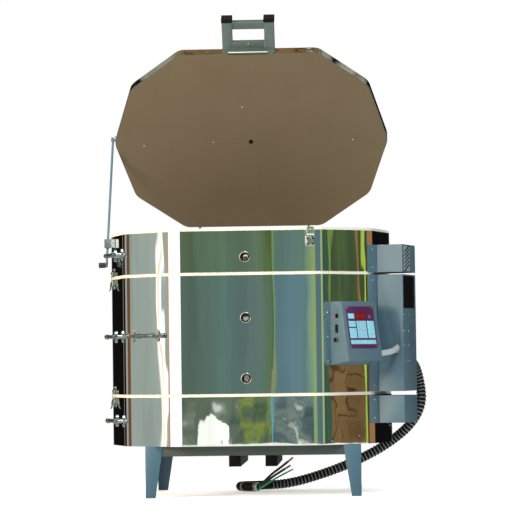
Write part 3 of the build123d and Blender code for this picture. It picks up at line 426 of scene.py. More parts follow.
def firebrick(net, light, dark):
    """Porous insulating brick."""
    pores = net.add("TexVoronoi", {"Vector": net.add("TexCoord", output="Object"), "Scale": 420.0}, "Distance")
    return {
        "Base Color": net.effect("Mottle", Scale=14.0, Contrast=0.7, Light=light, Dark=dark),
        "Normal": net.bump(pores, 0.0008, 0.6),
        "Roughness": 0.95,
    }


def lid_coating_and_shade(net, light, dark):
    """Fired brown coating on the lid's bricks, made dark as painted shade for the lid's shaded underside; its
    joints show faintly.
    """
    colour = net.effect("Mottle", Scale=7.0, Contrast=0.8, Light=light, Dark=dark)
    place = net.add("Mapping", {"Vector": net.add("TexCoord", output="Object"), "Rotation": (LID_OPEN, 0, 0)})
    joints = net.add("TexBrick", {
        "Vector": place, "Scale": 1.0, "Brick Width": 0.114, "Row Height": 0.229, "Mortar Size": 0.0014,
        "Mortar Smooth": 0.4, "Color1": (1, 1, 1), "Color2": (0.95, 0.955, 0.96), "Mortar": (0.8, 0.8, 0.78),
    })
    return {
        "Base Color": net.mix(0.35, colour, joints, "MULTIPLY"),
        "Normal": net.bump(net.noise(260.0, 3.0), 0.0006, 0.35),
        "Roughness": 0.95,
        "Specular IOR Level": 0.15,
    }


def plain(net, colour, rough, glow=None):
    """Small even finish with its own faint clouds."""
    dark = tuple(c * 0.9 for c in colour)
    clouds = net.effect("Mottle", Scale=40.0, Contrast=0.9, Light=colour, Dark=dark)
    inputs = {"Base Color": clouds, "Roughness": rough}
    if glow:
        inputs.update({"Emission Color": glow, "Emission Strength": 1.0})
    return inputs


# By name: the function, the light colour or the setting that holds it, and the function's other values
POWDER = (700.0, 0.25)
FINISHES = {
    "Firebrick": (firebrick, "brick", (0.56, 0.515, 0.43)),
    # Lid's underside: the coating's brown made dark as painted shade
    "Lid coating": (lid_coating_and_shade, "lid_face", (0.096, 0.071, 0.043)),
    "Polished jacket": (polished_sheet, "steel"),
    "Slate enamel": (coated, "enamel", (0.047, 0.091, 0.118), 6, 0.9, (0.36, 0.5), 0, POWDER),
    # Near-black enamel: dark paint on the hasp screws and the middle box's plate, painted shade in the louvre
    # slots and channel ends
    "Dark enamel": (coated, (0.006, 0.005, 0.005), (0.003,) * 3, 8, 0.8, (0.55, 0.7), {"gleam": 0.04}),
    "Rail paint": (
        coated, (0.055, 0.066, 0.06), (0.036, 0.046, 0.042), 7, 0.8, (0.4, 0.55), 0, POWDER, {"gleam": 0.3}
    ),
    "Pale enamel": (coated, (0.26, 0.31, 0.3), (0.14, 0.18, 0.18), 9, 0.8, (0.35, 0.5)),
    "Lid frame paint": (coated, (0.068, 0.094, 0.084), (0.052, 0.074, 0.066), 7, 0.8, (0.35, 0.5), 0, POWDER),
    "Channel paint": (coated, (0.02, 0.026, 0.023), (0.012, 0.016, 0.014), 8, 0.8, (0.45, 0.6), {"gleam": 0.2}),
    # Legs: the slate enamel made darker and bluer, as painted shade for the sky-lit legs
    "Leg enamel": (coated, (0.036, 0.088, 0.13), (0.028, 0.072, 0.11), 6, 0.9, (0.36, 0.5)),
    "Guide paint": (coated, (0.16, 0.24, 0.25), (0.1, 0.16, 0.17), 20, 0.8, (0.3, 0.45)),
    "Grip metal": (coated, (0.26, 0.28, 0.27), (0.14, 0.15, 0.15), 40, 0.7, (0.2, 0.3), 0.9),
    "Zinc plate": (coated, (0.56, 0.58, 0.57), (0.42, 0.44, 0.43), 30, 0.6, (0.14, 0.28), 1, (1500.0, 0.1)),
    # Pale colour of the edge plate's lip: a painted highlight on the dark frame paint
    "Bright lip": (coated, (0.72, 0.68, 0.52), (0.62, 0.58, 0.44), 30, 0.7, (0.3, 0.4)),
    # Near-black brick in the peephole and vent mouths: painted shade inside the holes, with a little real
    # scorching
    "Scorched brick": (
        coated, (0.022, 0.014, 0.008), (0.008, 0.006, 0.004), 60, 0.7, (0.8, 0.9), {"gleam": 0.1}
    ),
    "Element wire": (coated, (0.12, 0.1, 0.09), (0.05, 0.045, 0.04), 60, 0.6, (0.5, 0.7), 0.7),
    "Conduit metal": (coated, (0.52, 0.55, 0.56), (0.36, 0.39, 0.4), 20, 0.7, (0.3, 0.42), 0.35),
    # Olive grey of the conduit's smooth end: a painted sheen over the black vinyl
    "Conduit sleeve": (coated, (0.2, 0.19, 0.145), (0.12, 0.115, 0.085), 14, 0.7, (0.22, 0.32), {"coat": 0.5}),
    "Conduit vinyl": (coated, (0.004,) * 3, (0.003,) * 3, 20, 0.7, (0.35, 0.45), {"gleam": 0.12}),
    # Lighter grey on the rib tops: a painted highlight on the black vinyl
    "Conduit ridge": (coated, (0.15, 0.165, 0.165), (0.09, 0.1, 0.1), 20, 0.7, (0.16, 0.26), {"coat": 0.6}),
    # Pale blue on the mouth's steel rim: a painted reflection of the sky
    "Conduit rim": (plain, (0.5, 0.64, 0.72), 0.4),
    "Black plastic": (coated, (0.007,) * 3, (0.004,) * 3, 30, 0.7, (0.4, 0.55), {"gleam": 0.12}),
    "Rubber": (coated, (0.025, 0.024, 0.023), (0.014,) * 3, 30, 0.7, (0.7, 0.85)),
    "Copper strands": (coated, (0.62, 0.21, 0.07), (0.34, 0.09, 0.035), 90, 0.7, (0.3, 0.45), 0.8),
    "Black insulation": (plain, (0.012, 0.012, 0.014), 0.3),
    "Green insulation": (plain, (0.01, 0.3, 0.085), 0.35),
    "Keypad film": (plain, "keypad", 0.35),
    "Key film": (plain, "keys", 0.4),
    "Key gap": (plain, (0.095, 0.25, 0.31), 0.5),
    "Key print": (plain, (0.33, 0.05, 0.08), 0.5),
    "Display window": (plain, (0.1, 0.004, 0.004), 0.12),
    "Display digits": (plain, (0.28, 0.012, 0.008), 0.3, {"glow": (0.1, 0.002, 0.001)}),
    "Red lens": (plain, (0.55, 0.01, 0.008), 0.15),
    "Circuit board": (plain, (0.02, 0.1, 0.045), 0.4),
    "White ceramic": (plain, (0.8, 0.8, 0.77), 0.3),
    "White print": (plain, (0.8, 0.8, 0.8), 0.45),
}
MATERIALS = {}


def finish(name):
    """The finish of that name, made the first time that a piece asks for it."""
    if name not in MATERIALS:
        maker, light, *others = FINISHES[name]
        options = others.pop() if others and isinstance(others[-1], dict) else {}
        if isinstance(light, str):
            light = tuple(getattr(bpy.context.scene.kiln_finishes, light))
        material = bpy.data.materials.new(name)
        material.use_nodes = True
        net = Net(material.node_tree)
        shader = next(n for n in net.tree.nodes if n.type == "BSDF_PRINCIPLED")
        net.feed(shader, maker(net, light, *others, **options))
        MATERIALS[name] = material
    return MATERIALS[name]


# Sizes and colours that a user would change


def colour_setting(name, description, default):
    return FloatVectorProperty(name=name, description=description, subtype="COLOR", default=default)


def length_setting(name, description, default, least):
    return FloatProperty(name=name, description=description, default=default, unit="LENGTH", min=least)


class KilnStageSettings(PropertyGroup):
    camera_place: FloatVectorProperty(
        name="Camera place", description="Where the camera stands", subtype="TRANSLATION", unit="LENGTH",
        default=(0.4025, -9.9551, 0.4994),
    )
    camera_turn: FloatVectorProperty(
        name="Camera turn", description="The camera's rotation", subtype="EULER",
        default=(math.radians(92.4432), math.radians(0.7777), math.radians(2.3733)),
    )
    lens: FloatProperty(
        name="Lens", description="Focal length in millimetres on a 36 mm sensor", default=179.07, min=10
    )
    lamp_power: FloatProperty(
        name="Lamp power", description="Strength of the main soft lamp", default=620.0, min=0
    )
    fill: FloatProperty(name="Fill", description="Level of the plain surrounding light", default=0.55, min=0)


class KilnFinishSettings(PropertyGroup):
    brick: colour_setting("Firebrick", "Pale colour of the chamber's brick", (0.64, 0.59, 0.49))
    # Lid face: the coating's brown made dark as painted shade
    lid_face: colour_setting("Lid face", "Coating on the lid's underside", (0.112, 0.084, 0.053))
    steel: colour_setting("Jacket steel", "Tint of the polished jackets", (0.74, 0.78, 0.76))
    enamel: colour_setting("Enamel", "Slate paint of the boxes and hinges", (0.058, 0.108, 0.138))
    keypad: colour_setting("Keypad", "Background of the keypad", (0.062, 0.006, 0.052))
    keys: colour_setting("Keys", "Keys of the keypad", (0.2, 0.47, 0.56))


class KilnFittingSettings(PropertyGroup):
    screw_radius: length_setting("Screw head", "Radius of the sheet metal screws' heads", 0.0042, 0.001)
    coil_pitch: length_setting("Coil pitch", "Distance between the element's turns", 0.0072, 0.004)
    coil_radius: length_setting("Coil radius", "Middle radius of the element's turns", 0.0044, 0.002)
    rib_pitch: length_setting("Rib pitch", "Distance between the conduit's ribs", 0.0145, 0.006)
    rib_sides: IntProperty(name="Rib sides", description="Sides of the conduit's rings", default=24, min=8)


# Stage

# Colours that the steel mirrors: compass angle in degrees, then red, green and blue
WHITE = (1.5, 1.5, 1.5)
BLACK = (0.006, 0.006, 0.006)
ROUND = [
    (-180, 0.22, 0.1, 0.035), (-174, 0.43, 0.49, 0.45), (-164.5, *WHITE), (-162.5, 0.8, 0.4, 0.21),
    (-155, *WHITE), (-103, 0.135, 0.205, 0.165), (-91, 0.33, 0.47, 0.21), (-74, 0.13, 0.215, 0.24),
    (-48, 0.42, 0.56, 0.26), (-38, 0.06, 0.11, 0.075), (-27, 0.25, 0.15, 0.08), (-21.5, 0.05, 0.14, 0.09),
    (-19, 0.06, 0.06, 0.03), (-9, 0.42, 0.21, 0.09), (30, *BLACK), (66, 0.25, 0.3, 0.27),
    (114, *BLACK), (127.5, 0.34, 0.17, 0.08), (136, *BLACK), (155, 0.4, 0.48, 0.52), (171, 0.2, 0.09, 0.035),
]
LEFT = [
    (-167, 0.4, 0.45, 0.41), (-166, 0.43, 0.49, 0.45), (-164.96, 0.47, 0.53, 0.49),
    (-164.94, 1.35, 1.2, 0.9), (-164.88, *WHITE), (-164.81, *WHITE), (-164.79, 1.3, 1.00, 0.58),
    (-164.74, 1.3, 1.00, 0.58), (-164.72, *WHITE),
]
FRONT = [
    (-95.8, 0.125, 0.175, 0.13), (-95.0, 0.135, 0.205, 0.17), (-93.5, 0.13, 0.215, 0.195),
    (-92.3, 0.15, 0.225, 0.205), (-91.6, 0.135, 0.215, 0.12), (-91.47, 0.085, 0.14, 0.06),
    (-91.44, 0.27, 0.37, 0.17), (-91.37, 0.27, 0.37, 0.17), (-91.34, 0.14, 0.25, 0.27),
    (-90.4, 0.155, 0.265, 0.325), (-89.9, 0.15, 0.27, 0.28), (-89.6, 0.3, 0.45, 0.3),
]
RIGHT = [
    (-20.5, 0.05, 0.14, 0.09), (-20.34, 0.06, 0.15, 0.09), (-20.32, 0.26, 0.38, 0.08),
    (-20.22, 0.22, 0.33, 0.08), (-20.18, 0.062, 0.09, 0.045), (-19.8, 0.09, 0.14, 0.055),
    (-19.45, 0.065, 0.1, 0.048), (-19.1, 0.09, 0.14, 0.05), (-19.07, 0.42, 0.2, 0.105),
    (-18.96, 0.42, 0.2, 0.105), (-18.94, 0.07, 0.11, 0.04), (-18.8, 0.07, 0.11, 0.04),
    (-18.77, 0.48, 0.68, 0.09), (-18.6, 0.48, 0.68, 0.09),
]
# Colours by cloudy noise: its value, then red, green and blue
WOOD = [
    (0.3, 0.08, 0.04, 0.018), (0.4, 0.21, 0.12, 0.052), (0.455, 0.24, 0.14, 0.06),
    (0.465, 0.06, 0.03, 0.014), (0.48, 0.23, 0.135, 0.06), (0.54, 0.25, 0.15, 0.066),
    (0.55, 0.07, 0.036, 0.016), (0.565, 0.24, 0.145, 0.062), (0.7, 0.33, 0.2, 0.09),
]
YARD = [(0.36, 0.3, 0.32, 0.29), (0.64, 0.44, 0.45, 0.41)]
HEDGE = [(0.36, 0.012, 0.012, 0.01), (0.44, 0.2, 0.21, 0.15), (0.58, 0.33, 0.34, 0.25)]
LAWN = [
    (0.32, 0.075, 0.115, 0.085), (0.46, 0.14, 0.195, 0.15), (0.56, 0.165, 0.215, 0.15),
    (0.64, 0.3, 0.33, 0.27), (0.72, 0.8, 0.8, 0.74),
]
LEAVES = [
    (0.34, 0.07, 0.115, 0.07), (0.44, 0.135, 0.19, 0.11), (0.52, 0.2, 0.27, 0.08),
    (0.56, 0.29, 0.35, 0.09), (0.62, 0.14, 0.2, 0.11), (0.72, 0.42, 0.43, 0.33),
]
GROUND = [
    (0.34, 0.07, 0.12, 0.125), (0.46, 0.13, 0.19, 0.2), (0.53, 0.23, 0.3, 0.28),
    (0.58, 0.15, 0.2, 0.17), (0.64, 0.55, 0.58, 0.55), (0.7, 1.1, 1.1, 1.05),
]
# Limits shared by the bands: the part that the front flat mirrors, its ground line, and the wall's foot
WEST, LINE, FOOT = -95.8, 0.272, -16


class KILN_OT_stage(Operator):
    """Camera at the photograph's angle, soft lamps, a pale floor and the surroundings that the steel mirrors"""

    bl_idname = "kiln.stage"
    bl_label = "Stage"

    def execute(self, context):
        settings = context.scene.kiln_stage
        context.scene.view_settings.view_transform = "Standard"
        self.camera(context, settings)
        self.world(context, settings)
        self.floor()
        self.lamps(settings)
        self.surroundings()
        return {"FINISHED"}

    def camera(self, context, settings):
        data = bpy.data.cameras.new("Camera")
        data.lens = settings.lens
        data.sensor_width = 36
        data.clip_end = 60
        camera = placed("Camera", data)
        camera.location = settings.camera_place
        camera.rotation_euler = settings.camera_turn
        context.scene.camera = camera

    def world(self, context, settings):
        """Soft light on the kiln; plain white for the camera and what the steel mirrors above the wall."""
        world = bpy.data.worlds.new("Surround")
        world.use_nodes = True
        context.scene.world = world
        world.node_tree.nodes.clear()
        net = Net(world.node_tree)
        rays = net.node("LightPath").outputs
        seen = net.calc("MAXIMUM", rays["Is Camera Ray"], rays["Is Glossy Ray"])
        seen = net.calc("MAXIMUM", seen, rays["Is Transmission Ray"])
        light = net.add("Background", {"Color": (0.8, 0.93, 1.0), "Strength": settings.fill})
        white = net.add("Background", {"Color": (1, 1, 1)})
        net.node("OutputWorld", {"Surface": net.add("MixShader", {"Fac": seen, 1: light, 2: white})})

    def stage_part(self, name, bm, label, surface):
        """Mesh of the stage, with a material made from a function that gives its surface."""
        material = bpy.data.materials.new(label)
        material.use_nodes = True
        material.node_tree.nodes.clear()
        net = Net(material.node_tree)
        net.node("OutputMaterial", {"Surface": surface(net)})
        thing = placed(name, mesh_from(name, bm))
        thing.data.materials.append(material)
        return thing

    def floor(self):
        bm = bmesh.new()
        bmesh.ops.create_grid(bm, x_segments=1, y_segments=1, size=30)
        self.stage_part("Floor", bm, "Pale floor", self.floor_surface).visible_glossy = False

    def floor_surface(self, net):
        """Pale ground that fades into the white backdrop away from the kiln."""
        reach = net.add("VectorMath", {0: net.add("TexCoord", output="Object")}, "Value", operation="LENGTH")
        fade = net.spread(reach, 0.9, 2.2, way="SMOOTHSTEP")
        amount = net.times(fade, net.add("LightPath", output="Is Camera Ray"))
        matte = net.add("BsdfDiffuse", {"Color": (0.8, 0.8, 0.8)})
        near = net.add("AddShader", {0: matte, 1: net.add("Emission", {"Strength": 0.42})})
        return net.add("MixShader", {"Fac": amount, 1: near, 2: net.add("Emission")})

    def lamps(self, settings):
        for name, place, share, size, tint in (
            ("Main lamp", (-9.6, -8.0, 4.2), 3.2, 4.0, (1.0, 0.81, 0.56)),
            ("Front lamp", (1.4, -5.8, 7.0), 0.95, 3.6, (0.84, 0.94, 1.0)),
            ("Back lamp", (0.5, 4.5, 4.8), 0.3, 3.0, (0.95, 0.98, 1.0)),
        ):
            data = bpy.data.lights.new(name, "AREA")
            data.energy = settings.lamp_power * share
            data.size = size
            data.color = tint
            lamp = placed(name, data)
            lamp.location = place
            aim = Vector((0, 0, 0.6)) - Vector(place)
            lamp.rotation_euler = aim.to_track_quat("-Z", "Y").to_euler()
            lamp.visible_camera = False
            lamp.visible_glossy = name != "Back lamp"

    def surroundings(self):
        """Upright wall of colours round the stage, seen only in the steel."""
        bm = bmesh.new()
        bmesh.ops.create_cone(
            bm, cap_ends=False, segments=128, radius1=9.0, radius2=9.0, depth=40.0, matrix=shift((0, 0, 5.0))
        )
        wall = self.stage_part("Surroundings", bm, "Surroundings", self.wall_surface)
        for kind in ("camera", "diffuse", "shadow", "transmission"):
            setattr(wall, f"visible_{kind}", False)

    def wall_surface(self, net):
        """Bands by compass angle, finer where a flat facet mirrors them, with wood, leaves and ground."""
        x, y, rise = net.node("SeparateXYZ", {0: net.add("TexCoord", output="Object")}).outputs
        turn = net.times(net.calc("ARCTAN2", y, x), 180 / math.pi)
        coarse, fine = net.noise(2.4, 3.0, (1.0, 1.0, 0.9)), net.noise(7.0, 4.0, (1.0, 1.0, 0.8))
        wood = net.ramp(coarse, WOOD)
        colour = net.ramp(turn, ROUND, -180, 180, "CONSTANT")
        for stops, low, high in ((LEFT, -167, -164.6), (FRONT, WEST, -89.6), (RIGHT, -20.5, -18.6)):
            colour = net.mix(net.between(turn, low, high), colour, net.ramp(turn, stops, low, high))

        def area(west, east, low, high):
            return net.times(net.between(turn, west, east), net.between(rise, low, high))

        for inside, tint in (
            (area(WEST, -76, 1.15, 9), net.mix(1.0, colour, (1.0, 0.97, 0.72), "MULTIPLY")),
            (area(-20.52, -18.78, FOOT, 0.67), wood),
            (area(WEST, -93.1, FOOT, LINE), net.ramp(fine, LAWN)),
            (area(-93.1, -91.45, FOOT, LINE), net.ramp(fine, LEAVES)),
            (area(-91.45, -86, FOOT, LINE), net.ramp(fine, GROUND)),
            (self.patch(net, turn, rise, fine), (1.35, 1.35, 1.25)),
            (area(-91.5, -91.42, -2, LINE), (0.14, 0.52, 0.6)),
            (area(-91.52, -91.45, LINE, 0.46), (0.46, 0.24, 0.19)),
            (area(WEST, -18.6, -2, -0.066), (1.2, 1.2, 1.1)),
            (area(20, 160, 1.9, 5.6), BLACK),
            (area(20, 160, 5.6, 9.5), net.ramp(fine, HEDGE)),
            (area(20, 160, 9.5, 30), wood),
        ):
            colour = net.mix(inside, colour, tint)
        colour = net.mix(net.spread(rise, -0.3, -2.0, way="SMOOTHSTEP"), colour, net.ramp(coarse, YARD))
        level = net.spread(net.noise(1.0, 5.0, (9.0, 9.0, 0.35)), 0.3, 0.7, 0.84, 1.16)
        return net.add("Emission", {"Color": colour, "Strength": level})

    def patch(self, net, turn, rise, blotch):
        """Ragged white patch near the ground."""
        across = net.times(net.calc("ADD", turn, 94.2), 1.55)
        along = net.times(net.calc("ADD", rise, 0.06), 4.6)
        square = net.calc("ADD", net.times(across, across), net.times(along, along))
        return net.calc("LESS_THAN", net.calc("ADD", square, net.times(blotch, 2.6)), 2.3)


# Cords


HOSE_POINTS = [
    (0.58286, -0.0687, 0.505), (0.60502, -0.00051, 0.505), (0.62891, 0.04302, 0.43), (0.63791, 0.05502, 0.342),
    (0.59791, 0.07702, 0.262), (0.51491, 0.12702, 0.19), (0.40591, 0.15302, 0.127), (0.25891, 0.17702, 0.067),
    (0.10891, 0.20102, 0.025), (0.00391, 0.20902, 0.02), (-0.06209, 0.19302, 0.02), (-0.09009, 0.14102, 0.02),
    (-0.06609, 0.09302, 0.02), (-0.01209, 0.06502, 0.02),
]
# Wires: radius, place in the conduit's mouth, route, insulation's slot, and the solid that it stands for
WIRES = {
    "black_long": (
        0.0047, (0.0048, 0.004),
        [(0.0119, 0.052, 0.04), (0.045, 0.045, 0.072), (0.08, 0.047, 0.096), (0.108, 0.049, 0.118)],
        "Black insulation", "wires_black",
    ),
    "black_short": (
        0.0047, (-0.0048, 0.003),
        [(0.0119, 0.053, 0.032), (0.042, 0.049, 0.056), (0.073, 0.049, 0.076), (0.096, 0.05, 0.09)],
        "Black insulation", "wires_black",
    ),
    "green": (
        0.0036, (0.001, -0.0065),
        [(0.0139, 0.047, 0.024), (0.042, 0.039, 0.044), (0.075, 0.041, 0.062), (0.105, 0.043, 0.077)],
        "Green insulation", "wire_green",
    ),
}


def cord_curve(name, points, radius=0.0):
    """Smooth line with the route's points as its control points."""
    data = bpy.data.curves.new(name, "CURVE")
    data.dimensions = "3D"
    data.resolution_u = 10
    spline = data.splines.new("NURBS")
    spline.points.add(len(points) - 1)
    for point, place in zip(spline.points, points):
        point.co = (*place, 1)
    spline.order_u = 3
    spline.use_endpoint_u = True
    if radius:
        data.bevel_depth = radius
        data.bevel_resolution = 5
        data.use_fill_caps = True
    return data


def mesh_of(data):
    """Mesh that Blender makes of a curve or a text."""
    holder = placed(data.name, data)
    mesh = bpy.data.meshes.new_from_object(holder)
    bpy.data.objects.remove(holder)
    return mesh


def cord_line(points):
    """Points along a cord's smooth line, as Blender reads them from its curve."""
    data = cord_curve("line", points)
    data.resolution_u = 24
    mesh = mesh_of(data)
    line = [v.co.copy() for v in mesh.vertices]
    bpy.data.meshes.remove(mesh)
    return line


def walk(line):
    """Length of a line, and a function that gives the point and direction at a distance along it."""
    steps = [0.0]
    for a, b in zip(line, line[1:]):
        steps.append(steps[-1] + (b - a).length)

    def at(distance):
        index = max(i for i in range(len(steps) - 1) if steps[i] <= max(0, min(distance, steps[-1] - 1e-9)))
        share = (distance - steps[index]) / (steps[index + 1] - steps[index])
        return line[index].lerp(line[index + 1], share), (line[index + 1] - line[index]).normalized()

    return steps[-1], at


class KILN_OT_power_conduit(Operator):
    """Black ribbed conduit from the wiring box down to the floor"""

    bl_idname = "kiln.power_conduit"
    bl_label = "Power conduit"

    def execute(self, context):
        fitting = context.scene.kiln_fitting
        line = cord_line(HOSE_POINTS)
        length, at = walk(line)
        core, ridges = self.profiles(length, fitting.rib_pitch)
        sides = fitting.rib_sides
        piece = self.tubes("ribs", at, [core], sides, "Conduit vinyl", smooth=50)
        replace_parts(piece, "power_conduit")
        # Lighter ridges on the rib tops: painted highlight
        tops = self.tubes("ridges", at, ridges, sides, "Conduit ridge", smooth=50)
        lip = ((-0.003, 0.0184), (0.0006, 0.019), (0.0022, 0.018), (0.0022, 0.0146), (-0.001, 0.0137))
        cuff = ((-0.072, 0.0176), (-0.07, 0.0188), (-0.003, 0.0188), (-0.001, 0.0182))
        lip, cuff = ([(length + past, radius) for past, radius in rings] for rings in (lip, cuff))
        # Steel rim of the mouth, coloured pale blue as a painted reflection of the sky
        rim = self.tubes("rim", at, [lip], 32, "Conduit rim", "zinc_steel")
        # Smooth cuff at the conduit's end, its olive grey a painted sheen
        sleeve = self.tubes("sleeve", at, [cuff], 32, "Conduit sleeve")
        return {"FINISHED"}

    def profiles(self, length, pitch):
        """Rings of (distance, radius): the ribbed core, and a ridge on each full rib short of the plainer far
        end, lighter in colour as a painted highlight.
        """
        count = int((length - 0.038) / pitch)
        pitch = (length - 0.038) / count
        core, ridges = [(0.0, 0.0166)], []
        for rib in range(count):
            base = 0.019 + rib * pitch
            smooth = 1 - min(1, max(0, (base - length + 0.34) / 0.12))
            deep, full = 0.018 - 0.0016 * smooth, 0.0182 + 0.0008 * smooth
            edge = full - 0.0006
            shares = ((0.04, deep), (0.2, edge), (0.3, full), (0.66, full), (0.76, edge), (0.92, deep))
            core += [(base + share * pitch, radius) for share, radius in shares]
            if smooth > 0.5:
                foot, top = full - 0.0005, full + 0.0003
                ridge = ((0.28, foot), (0.34, top), (0.6, top), (0.66, foot))
                ridges.append([(base + share * pitch, radius) for share, radius in ridge])
        return core + [(length, 0.0174), (length, 0.0138), (length - 0.024, 0.0138)], ridges

    def tubes(self, name, at, profiles, sides, look, slot="black_plastic", smooth=30):
        bm = bmesh.new()
        for rings in profiles:
            self.tube(bm, at, rings, sides)
        return finish_piece(f"power_conduit_{name}", bm, look, smooth=smooth)

    def tube(self, bm, at, rings, sides):
        """Skin through rings of (distance, radius) along the line."""
        ring = bmesh.ops.create_circle(bm, cap_ends=False, radius=1.0, segments=sides)["verts"]
        edges = list(edges_of(ring))
        steady = Z_AXIS
        template = [v.co.copy() for v in ring]
        for index, (distance, radius) in enumerate(rings):
            point, way = at(distance)
            steady = (steady - way * steady.dot(way)).normalized()
            place = axes(point, steady, way) @ Matrix.Diagonal((radius, radius, radius, 1))
            if index:
                made = bmesh.ops.extrude_edge_only(bm, edges=edges)["geom"]
                edges = [e for e in made if isinstance(e, bmesh.types.BMEdge) and e.is_boundary]
                ring = [v for v in made if isinstance(v, bmesh.types.BMVert)]
            for vert, corner in zip(ring, template):
                vert.co = place @ corner


class KILN_OT_wires(Operator):
    """Two black wires and a green one out of the conduit's mouth, with bare copper ends"""

    bl_idname = "kiln.wires"
    bl_label = "Wires"

    def execute(self, context):
        mouth, before = Vector(HOSE_POINTS[-1]), Vector(HOSE_POINTS[-2])
        way = (mouth - before).normalized()
        side = Vector((-way.y, way.x, 0))
        for name, (radius, (across, rise), points, look, solid) in WIRES.items():
            offset = side * across + Vector((0, 0, rise))
            inner, edge = mouth - way * 0.022 + offset, mouth + way * 0.004 + offset
            route = [tuple(inner), tuple(edge), *points]
            wire = placed(f"wire_{name}_run", cord_curve(f"wire_{name}_run", route, radius))
            wire.data.materials.append(finish(look))
            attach(wire, BODY)
            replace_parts(wire, solid)
            line = cord_line(route)
            strands = self.copper(name, line, radius)
            walk(line)[0]
        return {"FINISHED"}

    def copper(self, name, line, radius):
        """Seven twisted strands beyond the insulation."""
        way = (line[-1] - line[-2]).normalized()
        twist = shift((0, 0, 0.0035)) @ Matrix.Rotation(math.radians(14), 4, "Z")
        bm = bmesh.new()
        for index in range(7):
            angle = index * math.tau / 6
            reach = radius * 0.54 if index else 0.0
            made = bmesh.ops.create_circle(
                bm, cap_ends=True, radius=radius * 0.28, segments=8,
                matrix=shift((reach * math.cos(angle), reach * math.sin(angle), 0)),
            )
            faces = list({face for vert in made["verts"] for face in vert.link_faces})
            for step in range(8):
                made = bmesh.ops.extrude_face_region(bm, geom=faces)["geom"]
                verts = [v for v in made if isinstance(v, bmesh.types.BMVert)]
                bmesh.ops.delete(bm, geom=[f for f in faces if step], context="FACES_ONLY")
                faces = [f for f in made if isinstance(f, bmesh.types.BMFace)]
                bmesh.ops.transform(bm, matrix=twist, verts=verts)
        bmesh.ops.transform(bm, matrix=axes(line[-1] - way * 0.002, Z_AXIS, way), verts=bm.verts)
        piece = finish_piece(f"copper_{name}_strands", bm, "Copper strands", smooth=50)
        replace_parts(piece, "copper_tips")
        return piece


# Body


class KILN_OT_bricks(Operator):
    """Firebrick rows, floor and lid slab, with eased edges at every joint"""

    bl_idname = "kiln.bricks"
    bl_label = "Bricks"

    def execute(self, context):
        for node in ("bottom_bricks", "middle_bricks", "top_bricks", "peephole_bricks", "floor_slab"):
            softened(node, "eased", "Firebrick", 0.0012, smooth=0)
        softened("lid_slab", "eased", "Lid coating", 0.0025, smooth=0, flatten=False)
        self.peepholes()
        self.lid_pins()
        return {"FINISHED"}

    def peepholes(self):
        """Dark mouths of the peepholes, painted shade over a little real scorching, each with the jacket's
        bright rolled edge.
        """
        spots = [facet(FRONT_FLAT, -0.005, height, 0) for height in PEEPHOLE_HEIGHTS]
        mouth = [(0.0119, -0.074), (0.0119, -0.004), (0.0126, 0.0006), (0.0172, 0.0008), (0.0172, 0.0002)]
        edge = [(0.017, 0.001), (0.0174, 0.0026), (0.0186, 0.0034), (0.0202, 0.003), (0.0208, 0.0019)]
        turned_piece("peephole_mouths", spots, mouth, 32, "Scorched brick")
        turned_piece("peephole_edges", spots, edge, 32, "Zinc plate")

    def lid_pins(self):
        """Mouth of the vent, darkened as painted shade inside the hole, and the pins that hold the lid's
        bricks.
        """
        vent, *pins = (
            on_lid(x, y, LID_UNDER, X_AXIS, -Z_AXIS)
            for x, y in ((0, 0), (-0.43, 0.01), (-0.151, 0.0), (0.406, -0.003), (-0.031, -0.15))
        )
        mouth = [(0.0048, -0.02), (0.0049, 0.0002), (0.0096, 0.0005), (0.0096, -0.0002)]
        pin = [(0, 0.001), (0.0015, 0.0007), (0.0021, -0.0006)]
        # Dark vent mouth: painted shade inside the hole
        turned_piece("vent_mouth", [vent], mouth, 24, "Scorched brick", "lid", 40)
        turned_piece("lid_brick_pins", pins, pin, 12, "White ceramic", "lid", 40)


class KILN_OT_jackets(Operator):
    """Polished steel round the three sections and the lid"""

    bl_idname = "kiln.jackets"
    bl_label = "Jackets"

    def execute(self, context):
        dress("Polished jacket", "bottom_jacket middle_jacket top_jacket lid_band")
        return {"FINISHED"}


